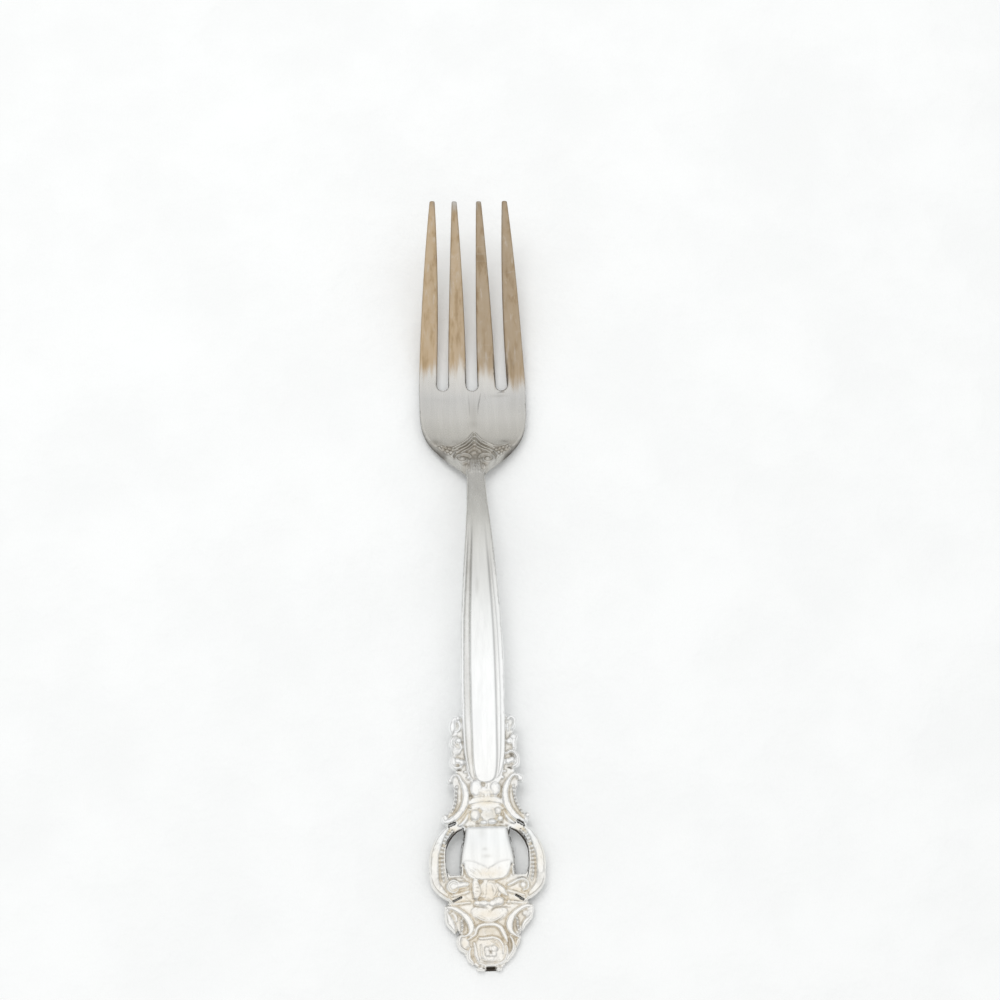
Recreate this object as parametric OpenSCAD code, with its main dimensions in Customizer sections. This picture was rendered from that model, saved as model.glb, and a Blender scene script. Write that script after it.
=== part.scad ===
// Dinner fork with four tines, a long panelled stem and a flat pierced handle in the baroque style.
// The origin is on the table under the middle of the fork. The tines point along +Y and +Z is up.
// The fork lies on its back: it touches the table under the palm and under the end of the handle.

/* [Fork] */
// Length from the handle end to the tine tips
fork_l = 190.5; // [182:0.5:202]
// Height of the underside at the top of the arch
arch_h = 8.9; // [7.5:0.1:10.5]
// Height of the underside at the tine tips
tip_rise = 15; // [12:0.25:18]
// Angle between the tines and the table at their tips
tip_tilt = 21.8; // [17:0.2:26]
// Angle between the flat handle and the table
handle_tilt = 5.4; // [4.6:0.1:6.2]
// Depth worn flat under the handle end
rest_cut = 0.1; // [0.06:0.01:0.16]
// Length of the flat under the palm
rest_l = 3; // [2:0.1:4]

/* [Tines] */
// Length of a tine, from the plane where the slots' round ends start
tine_l = 45.4; // [40:0.1:50]
// Width of the slots between the tines
slot_w = 2.9; // [2.4:0.05:3.3]
// Distance between neighbouring tine tips
tip_pitch = 6.1; // [5.7:0.05:6.5]
// Width of a tine at its tip
tip_w = 1.3; // [1:0.05:1.7]
// Thickness of a tine at its root
root_t = 1.9; // [1.6:0.05:2.3]
// Thickness of a tine at its tip
tip_t = 1.1; // [0.9:0.05:1.4]
// Bevel along a tine's edges
tine_bevel = 0.28; // [0.15:0.01:0.4]

/* [Palm] */
// Greatest width of the palm
palm_w = 26.8; // [25:0.1:29]
// Length of the palm, from the neck to the roots of the tines
palm_l = 25.85; // [23:0.05:29]
// Thickness of the palm behind the tines
palm_t = 2.2; // [1.9:0.05:2.6]
// Height that the palm's sides stand over its middle
dish_d = 1.1; // [0.6:0.05:1.6]
// Bevel along the edges of the palm, the neck and the stem's back
edge_bevel = 0.4; // [0.2:0.02:0.55]

/* [Heel ornament] */
// Half width of the ridges and scrolls on the heel
heel_band = 0.34; // [0.26:0.01:0.4]
// Height of the heel's relief
heel_relief = 0.45; // [0.3:0.01:0.7]

/* [Neck and stem] */
// Length of the plain neck behind the palm
neck_l = 16; // [12:0.1:20]
// Width of the neck where it leaves the palm
neck_w = 4.4; // [3.8:0.1:5]
// Thickness of the neck
neck_t = 3.2; // [2.8:0.05:3.8]
// Distance from the front of the stem's panel back to the top of the arch
arch_back = 6; // [3:0.5:9]
// Greatest width of the stem
stem_w = 10.3; // [9.5:0.1:10.8]
// Height of the stem's crowned panel
panel_rise = 1; // [0.7:0.05:1.3]
// Height of the raised borders along the stem
border_rise = 0.75; // [0.5:0.05:1]

/* [Handle plate] */
// Thickness of the pierced plate that carries the handle's ornament
plate_t = 1.35; // [1.1:0.05:1.7]
// Margin of plate that shows beside the ornament
plate_lip = 0.14; // [0.08:0.01:0.2]
// Radius that fills the inner corners of the plate's outline
plate_fillet = 0.8; // [0.5:0.05:1]
// Wall of plate between a window and the ornament beside it
window_wall = 0.35; // [0.25:0.01:0.5]
// Width of the slits at the waist and under the shoulders
slit_w = 0.45; // [0.3:0.01:0.55]

/* [Handle lengths] */
// Length of the end of the handle, with the rose
rose_bay_l = 15.4; // [14.6:0.1:17]
// Length of the part with the windows
window_bay_l = 16.8; // [16:0.1:18.5]
// Length of the shoulders
shoulder_bay_l = 12.8; // [12.2:0.1:14]
// Length of the crests beside the stem's end
crest_bay_l = 13.2; // [12.6:0.1:15]

/* [Handle widths] */
// Width across the end scrolls
rose_bay_w = 20.2; // [19.4:0.1:22]
// Width across the arms
arms_w = 26.6; // [25.8:0.1:28.5]
// Width across the shoulder scrolls
shoulder_w = 20.6; // [20:0.1:22.5]
// Width across the crests
crest_w = 15.9; // [15.5:0.1:17.2]
// Greatest width of the cartouche
cartouche_w = 12.1; // [11:0.1:12.8]

/* [Relief] */
// Half width of the handle's scrolls
scroll_band = 0.5; // [0.4:0.01:0.56]
// Height of the handle's scrolls
scroll_rise = 0.9; // [0.6:0.05:1.2]
// Half width of the arms' smooth crescents
arm_band = 1.2; // [1:0.02:1.3]
// Height of the crescents
arm_rise = 1; // [0.7:0.05:1.3]
// Gap between the crescents and the beads inside them
arm_gap = 0.15; // [0.1:0.01:0.2]
// Height of the cartouche
cartouche_rise = 1.05; // [0.7:0.05:1.4]
// Half width of the leaves
leaf_band = 0.8; // [0.6:0.02:0.9]
// Height of the leaves and petals
leaf_rise = 0.75; // [0.5:0.05:1]
// Radius of the beads
bead_r = 0.33; // [0.24:0.01:0.38]
// Radius of the dome in the rose
rose_heart_r = 1.55; // [1.2:0.05:1.7]
// Radius of the dome in the collar flower
collar_heart_r = 1; // [0.7:0.05:1.1]

/* [Hidden] */
$fn = 32;
silver = [0.84, 0.84, 0.82];
cream_silver = [0.88, 0.85, 0.78];
tarnish = [0.66, 0.54, 0.39];
left = -1;
right = 1;

// Where the pieces lie along the handle plate, measured on it from its end
window_v = rose_bay_l;
shoulder_v = window_v + window_bay_l;
crest_v = shoulder_v + shoulder_bay_l;
handle_l = crest_v + crest_bay_l;

// Where the pieces lie along Y. The outermost edges of the tips and of the end touch the fork's length.
nose_share = 0.2;
tip_y = fork_l / 2 + nose_share * tip_t * sin(tip_tilt);
crotch_y = tip_y - tine_l;
palm_y = crotch_y - palm_l;
panel_y = palm_y - neck_l;
arch_y = panel_y - arch_back;
handle_y = -fork_l / 2 + (plate_t + leaf_rise) * sin(handle_tilt);
joint_y = handle_y + handle_l * cos(handle_tilt);
rest_share = 0.7;
rest_y = palm_y + rest_share * palm_l;

// The underside: [y, height, slope] at the stations where the curve is known
joint_z = (joint_y - handle_y) * tan(handle_tilt) - rest_cut;
back_line = [
    [handle_y, -rest_cut, tan(handle_tilt)],
    [joint_y, joint_z, tan(handle_tilt)],
    [arch_y, arch_h, 0],
    [rest_y - rest_l / 2, 0, 0],
    [rest_y + rest_l / 2, 0, 0],
    [tip_y, tip_rise, tan(tip_tilt)]
];

// Number of the stretch of the underside that holds y
function stretch(y, i = 0) = i + 2 < len(back_line) && y > back_line[i + 1][0] ? stretch(y, i + 1) : i;

// Height of the underside at y, as a smooth curve from one station to the next
function back_z(y) =
    let (a = back_line[stretch(y)])
    let (b = back_line[stretch(y) + 1])
    let (l = b[0] - a[0])
    let (t = (y - a[0]) / l)
    a[1] * (1 + 2 * t) * (1 - t) ^ 2 + b[1] * (3 - 2 * t) * t ^ 2
        + l * t * (1 - t) * (a[2] * (1 - t) - b[2] * t);

// Angle of the underside to the table at y
function back_angle(y) =
    let (a = back_line[stretch(y)])
    let (b = back_line[stretch(y) + 1])
    let (l = b[0] - a[0])
    let (t = (y - a[0]) / l)
    atan(6 * (b[1] - a[1]) * t * (1 - t) / l + a[2] * (1 - t) * (1 - 3 * t) + b[2] * t * (3 * t - 2));

// The point at x, at height h square to the underside, over the underside's point at y
function at(x, y, h) = [x, y - h * sin(back_angle(y)), back_z(y) + h * cos(back_angle(y))];

// A smooth curve through rows of numbers, with a given number of steps from row to row
function spline_step(a, b, c, d, t) =
    (2 * b + (c - a) * t + (2 * a - 5 * b + 4 * c - d) * t ^ 2 + (3 * b - a - 3 * c + d) * t ^ 3) / 2;
function spline(rows, steps) =
    let (last = len(rows) - 1)
    [
        for (i = [0:last - 1], k = [0:steps - 1])
            spline_step(rows[max(i - 1, 0)], rows[i], rows[i + 1], rows[min(i + 2, last)], k / steps),
        rows[last]
    ];

// Value at a place in a table of [place, value] rows, eased from row to row
function eased(table, s, i = 0) =
    i + 2 < len(table) && s > table[i + 1][0] ? eased(table, s, i + 1) :
    let (t = min(max((s - table[i][0]) / (table[i + 1][0] - table[i][0]), 0), 1))
    table[i][1] + (table[i + 1][1] - table[i][1]) * t;

// Closed solid between rows of points on its face and matching rows on its back
module slab(face, back) {
    rows = len(face);
    cols = len(face[0]);
    under = rows * cols;
    points = concat([for (r = face) each r], [for (r = back) each r]);
    quads = concat(
        [for (i = [0:rows - 2], j = [0:cols - 2])
            [i * cols + j, (i + 1) * cols + j, (i + 1) * cols + j + 1, i * cols + j + 1]],
        [for (i = [0:rows - 2], j = [0:cols - 2])
            let (k = under + i * cols + j)
            [k + 1, k + cols + 1, k + cols, k]],
        [for (i = [0:rows - 2])
            [i * cols, i * cols + under, (i + 1) * cols + under, (i + 1) * cols]],
        [for (i = [0:rows - 2])
            [(i + 1) * cols - 1, (i + 2) * cols - 1, (i + 2) * cols - 1 + under, (i + 1) * cols - 1 + under]],
        [for (j = [0:cols - 2])
            [j, j + 1, j + 1 + under, j + under]],
        [for (j = [0:cols - 2])
            let (k = (rows - 1) * cols + j)
            [k + 1, k, k + under, k + 1 + under]]
    );
    polyhedron(points, [for (q = quads) each [[q[0], q[1], q[2]], [q[0], q[2], q[3]]]], convexity = 8);
}

// Closed solid through rings of points, each ring convex
module skin(rings) {
    n = len(rings);
    m = len(rings[0]);
    points = [for (r = rings) each r];
    sides = [
        for (i = [0:n - 2], j = [0:m - 1])
            let (k = (j + 1) % m)
            each [
                [i * m + j, (i + 1) * m + k, i * m + k],
                [i * m + j, (i + 1) * m + j, (i + 1) * m + k]
            ]
    ];
    ends = [[for (j = [0:m - 1]) j], [for (j = [m - 1:-1:0]) (n - 1) * m + j]];
    polyhedron(points, concat(sides, ends), convexity = 8);
}

// Direction of a path of [x, y, half width, height] points at point i
function heading(path, i) =
    let (a = path[max(i - 1, 0)])
    let (b = path[min(i + 1, len(path) - 1)])
    [b[0] - a[0], b[1] - a[1]] / norm([b[0] - a[0], b[1] - a[1]]);

// The half-round section of a scroll, and the veined section of a leaf, as shares of half width and height
round_shares = [[-1, 0], [-0.85, 0.55], [-0.45, 0.9], [0, 1], [0.45, 0.9], [0.85, 0.55], [1, 0]];
leaf_shares = [[-1, 0], [-0.75, 0.6], [-0.4, 0.95], [0, 1], [0.4, 0.95], [0.75, 0.6], [1, 0]];

// Relief of a given section along a path, with its flat side down on a surface.
// seat gives the point at x, y and a height over that surface.
module relief(path, section, seat) {
    skin([
        for (i = [0:len(path) - 1])
            let (p = path[i])
            let (d = heading(path, i))
            [for (s = section) seat(p[0] + d[1] * p[2] * s[0], p[1] - d[0] * p[2] * s[0], p[3] * s[1])]
    ]);
}

// Outline of the same path in the plane, for the plate that carries it
module footprint(path, margin = 0) {
    polygon(concat(
        [for (i = [0:len(path) - 1])
            let (d = heading(path, i))
            [path[i][0] + d[1] * (path[i][2] + margin), path[i][1] - d[0] * (path[i][2] + margin)]],
        [for (i = [len(path) - 1:-1:0])
            let (d = heading(path, i))
            [path[i][0] - d[1] * (path[i][2] + margin), path[i][1] + d[0] * (path[i][2] + margin)]]
    ));
}

// Path from rows of shares: [x share, y share, half width share, height share]
function path_of(rows, side, start, width, length, band, rise, steps = 3) =
    [for (r = spline(rows, steps))
        [side * r[0] * width / 2, start + r[1] * length, r[2] * band, r[3] * rise]];

// The same on the flat handle, within one of its bays
bays = [
    [0, rose_bay_w, rose_bay_l], [window_v, arms_w, window_bay_l],
    [shoulder_v, shoulder_w, shoulder_bay_l], [crest_v, crest_w, crest_bay_l]
];
rose_bay = 0;
window_bay = 1;
shoulder_bay = 2;
crest_bay = 3;
function bay_path(bay, rows, side, band, rise, steps = 3) =
    path_of(rows, side, bays[bay][0], bays[bay][1], bays[bay][2], band, rise, steps);

// Path round an oval arc, thin at its first end and full once it has run its swelling share
curl_end_share = 0.53;
curl_swell_share = 0.32;
function curl(x, v, rx, rv, from, to, band, rise, side, steps = 14) =
    [for (k = [0:steps])
        let (a = from + (to - from) * k / steps)
        let (swell = min(k / steps / curl_swell_share, 1))
        let (taper = curl_end_share + (1 - curl_end_share) * sin(90 * swell))
        [side * (x + rx * cos(a)), v + rv * sin(a), band * taper, rise * taper]];

// Surfaces that carry relief
on_plate = function (x, v, h) [x, v, plate_t + h];
on_palm = function (x, y, h) at(x, y, palm_thickness(y) + dish(x, y) + h);
on_stem = function (x, y, h) at(x, y, base_t(y) + h);

// Frame of the flat handle: X across, Y along the plate from its end, Z up from its back
module on_handle() {
    translate([0, handle_y, -rest_cut])
        rotate([handle_tilt, 0, 0])
            children();
}

// Palm and tines

root_w = (palm_w - 3 * slot_w) / 4;
root_pitch = root_w + slot_w;
palm_side_shares = [
    [0, 0], [0.06, 0.07], [0.14, 0.21], [0.21, 0.34], [0.29, 0.48], [0.37, 0.6], [0.46, 0.72],
    [0.56, 0.82], [0.66, 0.89], [0.76, 0.945], [0.86, 0.98], [0.94, 0.995], [1, 1]
];
widest_share = 0.7;
even_share = 0.45;
across_shares = [-1, -0.8, -0.6, -0.4, -0.2, 0, 0.2, 0.4, 0.6, 0.8, 1];
flat_share = 0.2;

// Half width of the palm at y: it swells from the neck and runs straight behind the tines
function palm_half(y) =
    let (s = min((y - palm_y) / (widest_share * palm_l), 1))
    neck_w / 2 + (palm_w - neck_w) / 2 * eased(palm_side_shares, s);

// Thickness of the palm at y, from the neck's to the tines'
function palm_thickness(y) =
    let (s = (y - palm_y) / palm_l)
    eased([[0, neck_t], [even_share, palm_t], [1, root_t]], s);

// Height that the dished palm and the tines gain at x, away from the middle
function dish(x, y) =
    let (half = palm_w / 2 - edge_bevel)
    y < palm_y ? 0 : dish_d * (max(abs(x) - flat_share * half, 0) / (half - flat_share * half)) ^ 2;

// Places across a bar of a given half width, with its bevels at the ends
function across(half, shares) = concat([-half], [for (s = shares) s * (half - edge_bevel)], [half]);
function drop(x, half, bevel) = abs(x) > half - edge_bevel / 2 ? bevel : 0;
function face_row(y, half, t, bevel, shares) =
    [for (x = across(half, shares)) at(x, y, t + dish(x, y) - drop(x, half, bevel))];
function back_row(y, half, shares) =
    [for (x = across(half, shares)) at(x, y, dish(x, y) + drop(x, half, edge_bevel))];

palm_row_shares = concat(
    [for (s = palm_side_shares) s[0] * widest_share],
    [0.76, 0.84, 0.92, 1]
);
palm_ys = concat(
    [for (s = palm_row_shares) let (y = palm_y + s * palm_l) if (y < rest_y - 2 * rest_l / 3) y],
    [rest_y - rest_l / 2, rest_y + rest_l / 2],
    [for (s = palm_row_shares) let (y = palm_y + s * palm_l) if (y > rest_y + 2 * rest_l / 3) y]
);

// The dished palm, with the round ends of the three slots cut in its front
module palm() {
    color(silver) difference() {
        slab(
            [for (y = palm_ys) face_row(y, palm_half(y), palm_thickness(y), edge_bevel, across_shares)],
            [for (y = palm_ys) back_row(y, palm_half(y), across_shares)]
        );
        for (k = [-1:1])
            translate(at(k * root_pitch, crotch_y, 0))
                rotate([back_angle(crotch_y), 0, 0])
                    cylinder(r = slot_w / 2, h = 4 * root_t, center = true);
    }
}

tine_row_shares = [0, 0.1, 0.2, 0.3, 0.4, 0.5, 0.6, 0.7, 0.79, 0.87, 0.94, 0.985, 0.995, 1];
nose_shares = [[0.985, 1], [0.995, 0.85], [1, 0.55]];

// Tine k, counted from the left. The outer tines stay broad for longer than the inner ones.
module tine(k, fullness) {
    root_x = (k - 1.5) * root_pitch;
    tip_x = (k - 1.5) * tip_pitch;
    sections = [
        for (s = tine_row_shares)
            let (nose = eased(nose_shares, s))
            let (half = nose * (tip_w + (root_w - tip_w) * (1 - s ^ fullness)) / 2)
            let (t = root_t + (tip_t - root_t) * s)
            [crotch_y + s * tine_l, root_x + (tip_x - root_x) * s, half, t, nose]
    ];
    function low(c) = nose_share * c[3] * (1 - c[4]) / (1 - nose_shares[2][1]);
    function tine_row(c, up) = [
        for (s = [[-1, 0, 1], [-1, 1, 0], [0, 0, 0], [1, -1, 0], [1, 0, 1]])
            let (x = c[1] + s[0] * c[2] + s[1] * tine_bevel * c[4])
            let (h = low(c) + s[2] * tine_bevel * c[4])
            at(x, c[0], dish(x, c[0]) + (up ? c[3] - h : h))
    ];
    color(tarnish)
        slab([for (c = sections) tine_row(c, true)], [for (c = sections) tine_row(c, false)]);
}

outer_fullness = 2.4;
inner_fullness = 1.75;
module tine_outer_left() tine(0, outer_fullness);
module tine_inner_left() tine(1, inner_fullness);
module tine_inner_right() tine(2, inner_fullness);
module tine_outer_right() tine(3, outer_fullness);

// Ornament on the heel of the palm, between the neck and the middle. Places across it are shares of half the
// palm's width, and places along it are shares of the palm's length.

ogee_shares = [
    [
        [0.03, 0.485, 0.6, 0.7], [0.075, 0.43, 1, 1], [0.17, 0.375, 1, 1],
        [0.3, 0.338, 1, 1], [0.44, 0.325, 0.6, 0.5]
    ],
    [[0.03, 0.415, 0.6, 0.7], [0.09, 0.365, 1, 1], [0.2, 0.315, 1, 1], [0.33, 0.283, 0.6, 0.5]],
    [[0.03, 0.345, 0.6, 0.7], [0.09, 0.3, 1, 1], [0.18, 0.262, 1, 1], [0.27, 0.243, 0.6, 0.5]]
];
rib_shares = [[0, 0.025, 0.5, 0.5], [0, 0.06, 0.75, 0.8], [0, 0.1, 0.6, 0.5]];
rib_pitch_share = 0.3;
heel_scroll_shares = [
    [0.375, 0.228, 0.6, 0.5], [0.36, 0.185, 0.9, 1], [0.28, 0.145, 1.1, 1.2],
    [0.17, 0.135, 1, 1], [0.08, 0.16, 0.7, 0.6]
];
heel_leaf_shares = [
    [0.42, 0.25, 0.7, 0.5], [0.49, 0.272, 1.6, 1.1], [0.57, 0.302, 1.5, 1.1], [0.63, 0.335, 0.6, 0.5]
];

function heel_path(rows, side, steps = 3) =
    path_of(rows, side, palm_y, palm_w, palm_l, heel_band, heel_relief, steps);

// Three nested ogee ridges that rise to a point over the neck
module heel_ogee() {
    color(cream_silver)
        for (rows = ogee_shares, side = [left, right])
            relief(heel_path(rows, side, 2), round_shares, on_palm);
}

// Three short ribs that carry the neck up into the heel
module heel_ribs() {
    color(cream_silver)
        for (k = [-1:1])
            relief(
                [for (p = heel_path(rib_shares, right)) p + [k * rib_pitch_share * neck_w, 0, 0, 0]],
                round_shares, on_palm
            );
}

module heel_scroll(side) {
    color(cream_silver) relief(heel_path(heel_scroll_shares, side), round_shares, on_palm);
}
module heel_scroll_left() heel_scroll(left);
module heel_scroll_right() heel_scroll(right);

module heel_leaf(side) {
    color(cream_silver) relief(heel_path(heel_leaf_shares, side), leaf_shares, on_palm);
}
module heel_leaf_left() heel_leaf(left);
module heel_leaf_right() heel_leaf(right);

// Neck and stem

// Widths of the stem as shares of its greatest width: along the bar, and then along the crests to its point
stem_side_shares = [
    [0, 0.59], [0.11, 0.68], [0.26, 0.785], [0.42, 0.885], [0.56, 0.95], [0.7, 0.995], [0.86, 1], [1, 0.98]
];
point_side_shares = [
    [0, 0.98], [0.28, 0.94], [0.47, 0.91], [0.66, 0.865], [0.85, 0.77], [1, 0.64], [1.12, 0.5], [1.23, 0.12]
];
panel_share = 0.7;
border_share = 0.1;
border_end_share = 0.52;
neck_row_shares = [0, 0.17, 0.34, 0.5, 0.67, 0.83, 1];
neck_flare = 1.4;
bar_shares = [-1, 0, 1];

// Thickness of the bar under the panel and the borders
function base_t(y) =
    let (s = max((y - joint_y) / (panel_y - joint_y), 0))
    plate_t + (neck_t - panel_rise - plate_t) * s;

// Rows of [y, half width] down the stem, and on over the plate to the panel's point
stem_rows = [for (r = spline(stem_side_shares, 2)) [panel_y + (joint_y - panel_y) * r[0], r[1] * stem_w / 2]];
point_rows = [
    for (r = spline(point_side_shares, 2))
        [joint_y - r[0] * crest_bay_l * cos(handle_tilt), r[1] * stem_w / 2]
];
stem_front_half = stem_rows[0][1];

// The plain neck between the palm and the panel
module neck() {
    rows = [
        for (s = neck_row_shares)
            [palm_y - s * neck_l, neck_w / 2 + (stem_front_half - neck_w / 2) * s ^ neck_flare]
    ];
    color(silver)
        slab(
            [for (i = [len(rows) - 1:-1:0]) face_row(rows[i][0], rows[i][1], neck_t, edge_bevel, bar_shares)],
            [for (i = [len(rows) - 1:-1:0]) back_row(rows[i][0], rows[i][1], bar_shares)]
        );
}

// The bar of the stem, flat on top where the panel and its borders lie
module stem() {
    rows = [for (i = [len(stem_rows) - 1:-1:0]) stem_rows[i]];
    color(silver)
        slab(
            [for (r = rows) face_row(r[0], r[1], base_t(r[0]), 0, bar_shares)],
            [for (r = rows) back_row(r[0], r[1], bar_shares)]
        );
}

panel_rows = concat(stem_rows, [for (i = [1:len(point_rows) - 1]) point_rows[i]]);
crown_shares = [[-1, 0.45], [-0.75, 0.75], [-0.35, 0.96], [0.35, 0.96], [0.75, 0.75], [1, 0.45]];

function crown_row(r, rise) =
    [for (c = crown_shares) on_stem(c[0] * panel_share * r[1], r[0], c[1] * rise)];

// The long crowned panel, which ends in a point between the crests
module stem_panel() {
    rows = [for (i = [len(panel_rows) - 1:-1:0]) panel_rows[i]];
    color(silver)
        slab(
            [for (r = rows) crown_row(r, panel_rise)],
            [for (r = rows) crown_row(r, 0)]
        );
}

// Path of a border along the edge of the stem, as far as the panel narrows to its point
function border_path(side) =
    [for (r = panel_rows)
        if (r[1] > border_end_share * stem_w / 2)
            [side * r[1] * (1 - border_share), r[0], r[1] * border_share, border_rise]];

module stem_border(side) {
    color(silver) relief(border_path(side), round_shares, on_stem);
}
module stem_border_left() stem_border(left);
module stem_border_right() stem_border(right);

// Crests: three curls on each side of the stem's end

crest_curl_shares = [
    // place along the bay, half width across, half length along, first angle, last angle
    [0.155, 0.33, 0.5, 235, -40],
    [0.505, 0.3, 0.38, 130, -140],
    [0.81, 0.33, 0.52, 200, -75]
];
curl_share = 0.85;

// Room between the stem's border and the edge of the crests
crest_room = crest_w / 2 - point_side_shares[0][1] * stem_w / 2;

function crest_curl(row, side) =
    curl(
        crest_w / 2 - row[1] * crest_room - curl_share * scroll_band, crest_v + row[0] * crest_bay_l,
        row[1] * crest_room, row[2] * crest_room, row[3], row[4],
        curl_share * scroll_band, scroll_rise, side
    );

module crest_scrolls(side) {
    color(cream_silver)
        for (row = crest_curl_shares)
            relief(crest_curl(row, side), round_shares, on_plate);
}
module crest_scrolls_left() on_handle() crest_scrolls(left);
module crest_scrolls_right() on_handle() crest_scrolls(right);

// Shoulders: a C-scroll on each side with beads behind it, and a leaf, a band and a flower between them

shoulder_scroll_shares = [
    [0.91, 0.235, 0.7, 0.7], [0.955, 0.155, 1, 1], [0.9, 0.085, 1, 1], [0.775, 0.115, 1.1, 1],
    [0.63, 0.215, 1.3, 1], [0.525, 0.365, 1.6, 1.1], [0.485, 0.53, 1.7, 1.1], [0.5, 0.69, 1.5, 1],
    [0.565, 0.84, 1.2, 1], [0.68, 0.925, 1, 1], [0.79, 0.925, 1.2, 1], [0.83, 0.86, 0.8, 0.8]
];
shoulder_bead_shares = [
    [0.71, 0.755, 1, 1], [0.66, 0.66, 1, 1], [0.645, 0.52, 1, 1], [0.68, 0.38, 1, 1], [0.765, 0.275, 1, 1]
];
collar_lobe_shares = [
    [[0, 0.69, 0.5, 0.6], [0, 0.62, 1.15, 1], [0, 0.54, 0.8, 0.7]],
    [[0.31, 0.77, 0.7, 0.6], [0.255, 0.66, 1.45, 1.1], [0.17, 0.545, 0.7, 0.7]]
];
collar_band_shares = [
    [-0.37, 0.375, 0.8, 0.7], [-0.19, 0.445, 1.15, 1], [0, 0.468, 1.25, 1.1],
    [0.19, 0.445, 1.15, 1], [0.37, 0.375, 0.8, 0.7]
];
collar_petal_angles = [0, 180, -54, -126];
collar_flower_share = 0.235;
collar_ring_shares = [0.275, 0.152];
collar_petal_spread = 54;

function shoulder_path(rows, side, band, rise, steps = 3) =
    bay_path(shoulder_bay, rows, side, band, rise, steps);

function shoulder_scroll_path(side) =
    shoulder_path(shoulder_scroll_shares, side, scroll_band, scroll_rise);

module shoulder_scroll(side) {
    color(cream_silver)
        on_handle()
            relief(shoulder_scroll_path(side), round_shares, on_plate);
}
module shoulder_scroll_left() shoulder_scroll(left);
module shoulder_scroll_right() shoulder_scroll(right);

// Length of a path, and its points at a steady pitch of a little over a bead
function path_length(path) = len(path) < 2 ? 0 : sum_of([for (i = [1:len(path) - 1]) step_length(path, i)]);
function step_length(path, i) = norm([path[i][0] - path[i - 1][0], path[i][1] - path[i - 1][1]]);
function sum_of(list, i = 0) = i < len(list) ? list[i] + sum_of(list, i + 1) : 0;
function walk(path, distance, i = 1) =
    let (l = step_length(path, i))
    distance <= l || i + 1 >= len(path) ? path[i - 1] + (path[i] - path[i - 1]) * min(distance / l, 1) :
    walk(path, distance - l, i + 1);
bead_pitch_share = 2.3;

// Half-round beads on the plate, in a row along a path
module beads(path) {
    length = path_length(path);
    count = floor(length / (bead_pitch_share * bead_r));
    intersection() {
        for (k = [0:count])
            let (p = walk(path, length * k / count))
                translate([p[0], p[1], plate_t])
                    sphere(r = bead_r);
        translate([-arms_w, 0, plate_t])
            cube([2 * arms_w, handle_l, bead_r]);
    }
}

module shoulder_beads(side) {
    color(cream_silver)
        on_handle()
            beads(shoulder_path(shoulder_bead_shares, side, bead_r, bead_r));
}
module shoulder_beads_left() shoulder_beads(left);
module shoulder_beads_right() shoulder_beads(right);

function collar_lobe(k, side) = shoulder_path(collar_lobe_shares[k], side, leaf_band, leaf_rise);

// Three-lobed leaf under the panel's point
module collar_leaf() {
    color(cream_silver)
        on_handle() {
            relief(collar_lobe(0, right), leaf_shares, on_plate);
            for (side = [left, right])
                relief(collar_lobe(1, side), leaf_shares, on_plate);
        }
}

module collar_band() {
    color(cream_silver)
        on_handle()
            relief(shoulder_path(collar_band_shares, right, scroll_band, scroll_rise), round_shares, on_plate);
}

// Short petal on an ellipse about x = 0, swelling in its middle
petal_end_share = 0.4;
petal_steps = 6;
function petal(v, rx, rv, angle, spread, band, rise) =
    [for (k = [0:petal_steps])
        let (a = angle + spread * (k / petal_steps - 1 / 2))
        let (swell = petal_end_share + (1 - petal_end_share) * sin(180 * k / petal_steps))
        [rx * cos(a), v + rv * sin(a), band * swell, rise * swell]];

// Dome with a sunk middle, turned about its axis
heart_rim_share = 0.35;
heart_sink_shares = [[0.3, 0.9], [0.15, 0.6], [0, 0.5]];
module heart(r, rise) {
    rotate_extrude()
        polygon(concat(
            [[0, 0], [r, 0]],
            [for (a = [15:15:75]) [r * (heart_rim_share + (1 - heart_rim_share) * cos(a)), rise * sin(a)]],
            [for (s = heart_sink_shares) [s[0] * r, s[1] * rise]]
        ));
}

// Flower under the collar band: four petals round a dome
module collar_flower() {
    flower_v = shoulder_v + collar_flower_share * shoulder_bay_l;
    rx = collar_ring_shares[0] * shoulder_w / 2;
    rv = collar_ring_shares[1] * shoulder_bay_l;
    color(cream_silver)
        on_handle() {
            for (a = collar_petal_angles)
                relief(
                    petal(flower_v, rx, rv, a, collar_petal_spread, leaf_band, leaf_rise),
                    leaf_shares, on_plate
                );
            translate([0, flower_v, plate_t])
                heart(collar_heart_r, leaf_rise);
        }
}

// Arms and windows

arm_shares = [
    [0.7, 0.065, 0.25, 0.5], [0.775, 0.105, 0.5, 0.8], [0.855, 0.19, 0.8, 1], [0.905, 0.3, 0.95, 1],
    [0.909, 0.42, 1, 1], [0.905, 0.56, 1, 1], [0.87, 0.69, 0.88, 1], [0.8, 0.815, 0.7, 1],
    [0.72, 0.92, 0.48, 0.9], [0.665, 0.972, 0.3, 0.6]
];
arm_bead_span_shares = [0.29, 0.92];
arm_bead_top_share = 0.945;
volute_shares = [0.587, 0.205, 0.062];
volute_arc = [-165, 84];
volute_tail_shares = [[0.5, 0.27, 1, 1], [0.43, 0.262, 1, 1], [0.36, 0.25, 0.6, 0.6]];

function window_path(rows, side, band, rise, steps = 3) =
    bay_path(window_bay, rows, side, band, rise, steps);

function arm_path(side) = window_path(arm_shares, side, arm_band, arm_rise);

// Smooth crescent that bows out round the window
module frame_arm(side) {
    color(silver)
        on_handle()
            relief(arm_path(side), round_shares, on_plate);
}
module frame_arm_left() frame_arm(left);
module frame_arm_right() frame_arm(right);

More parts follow.
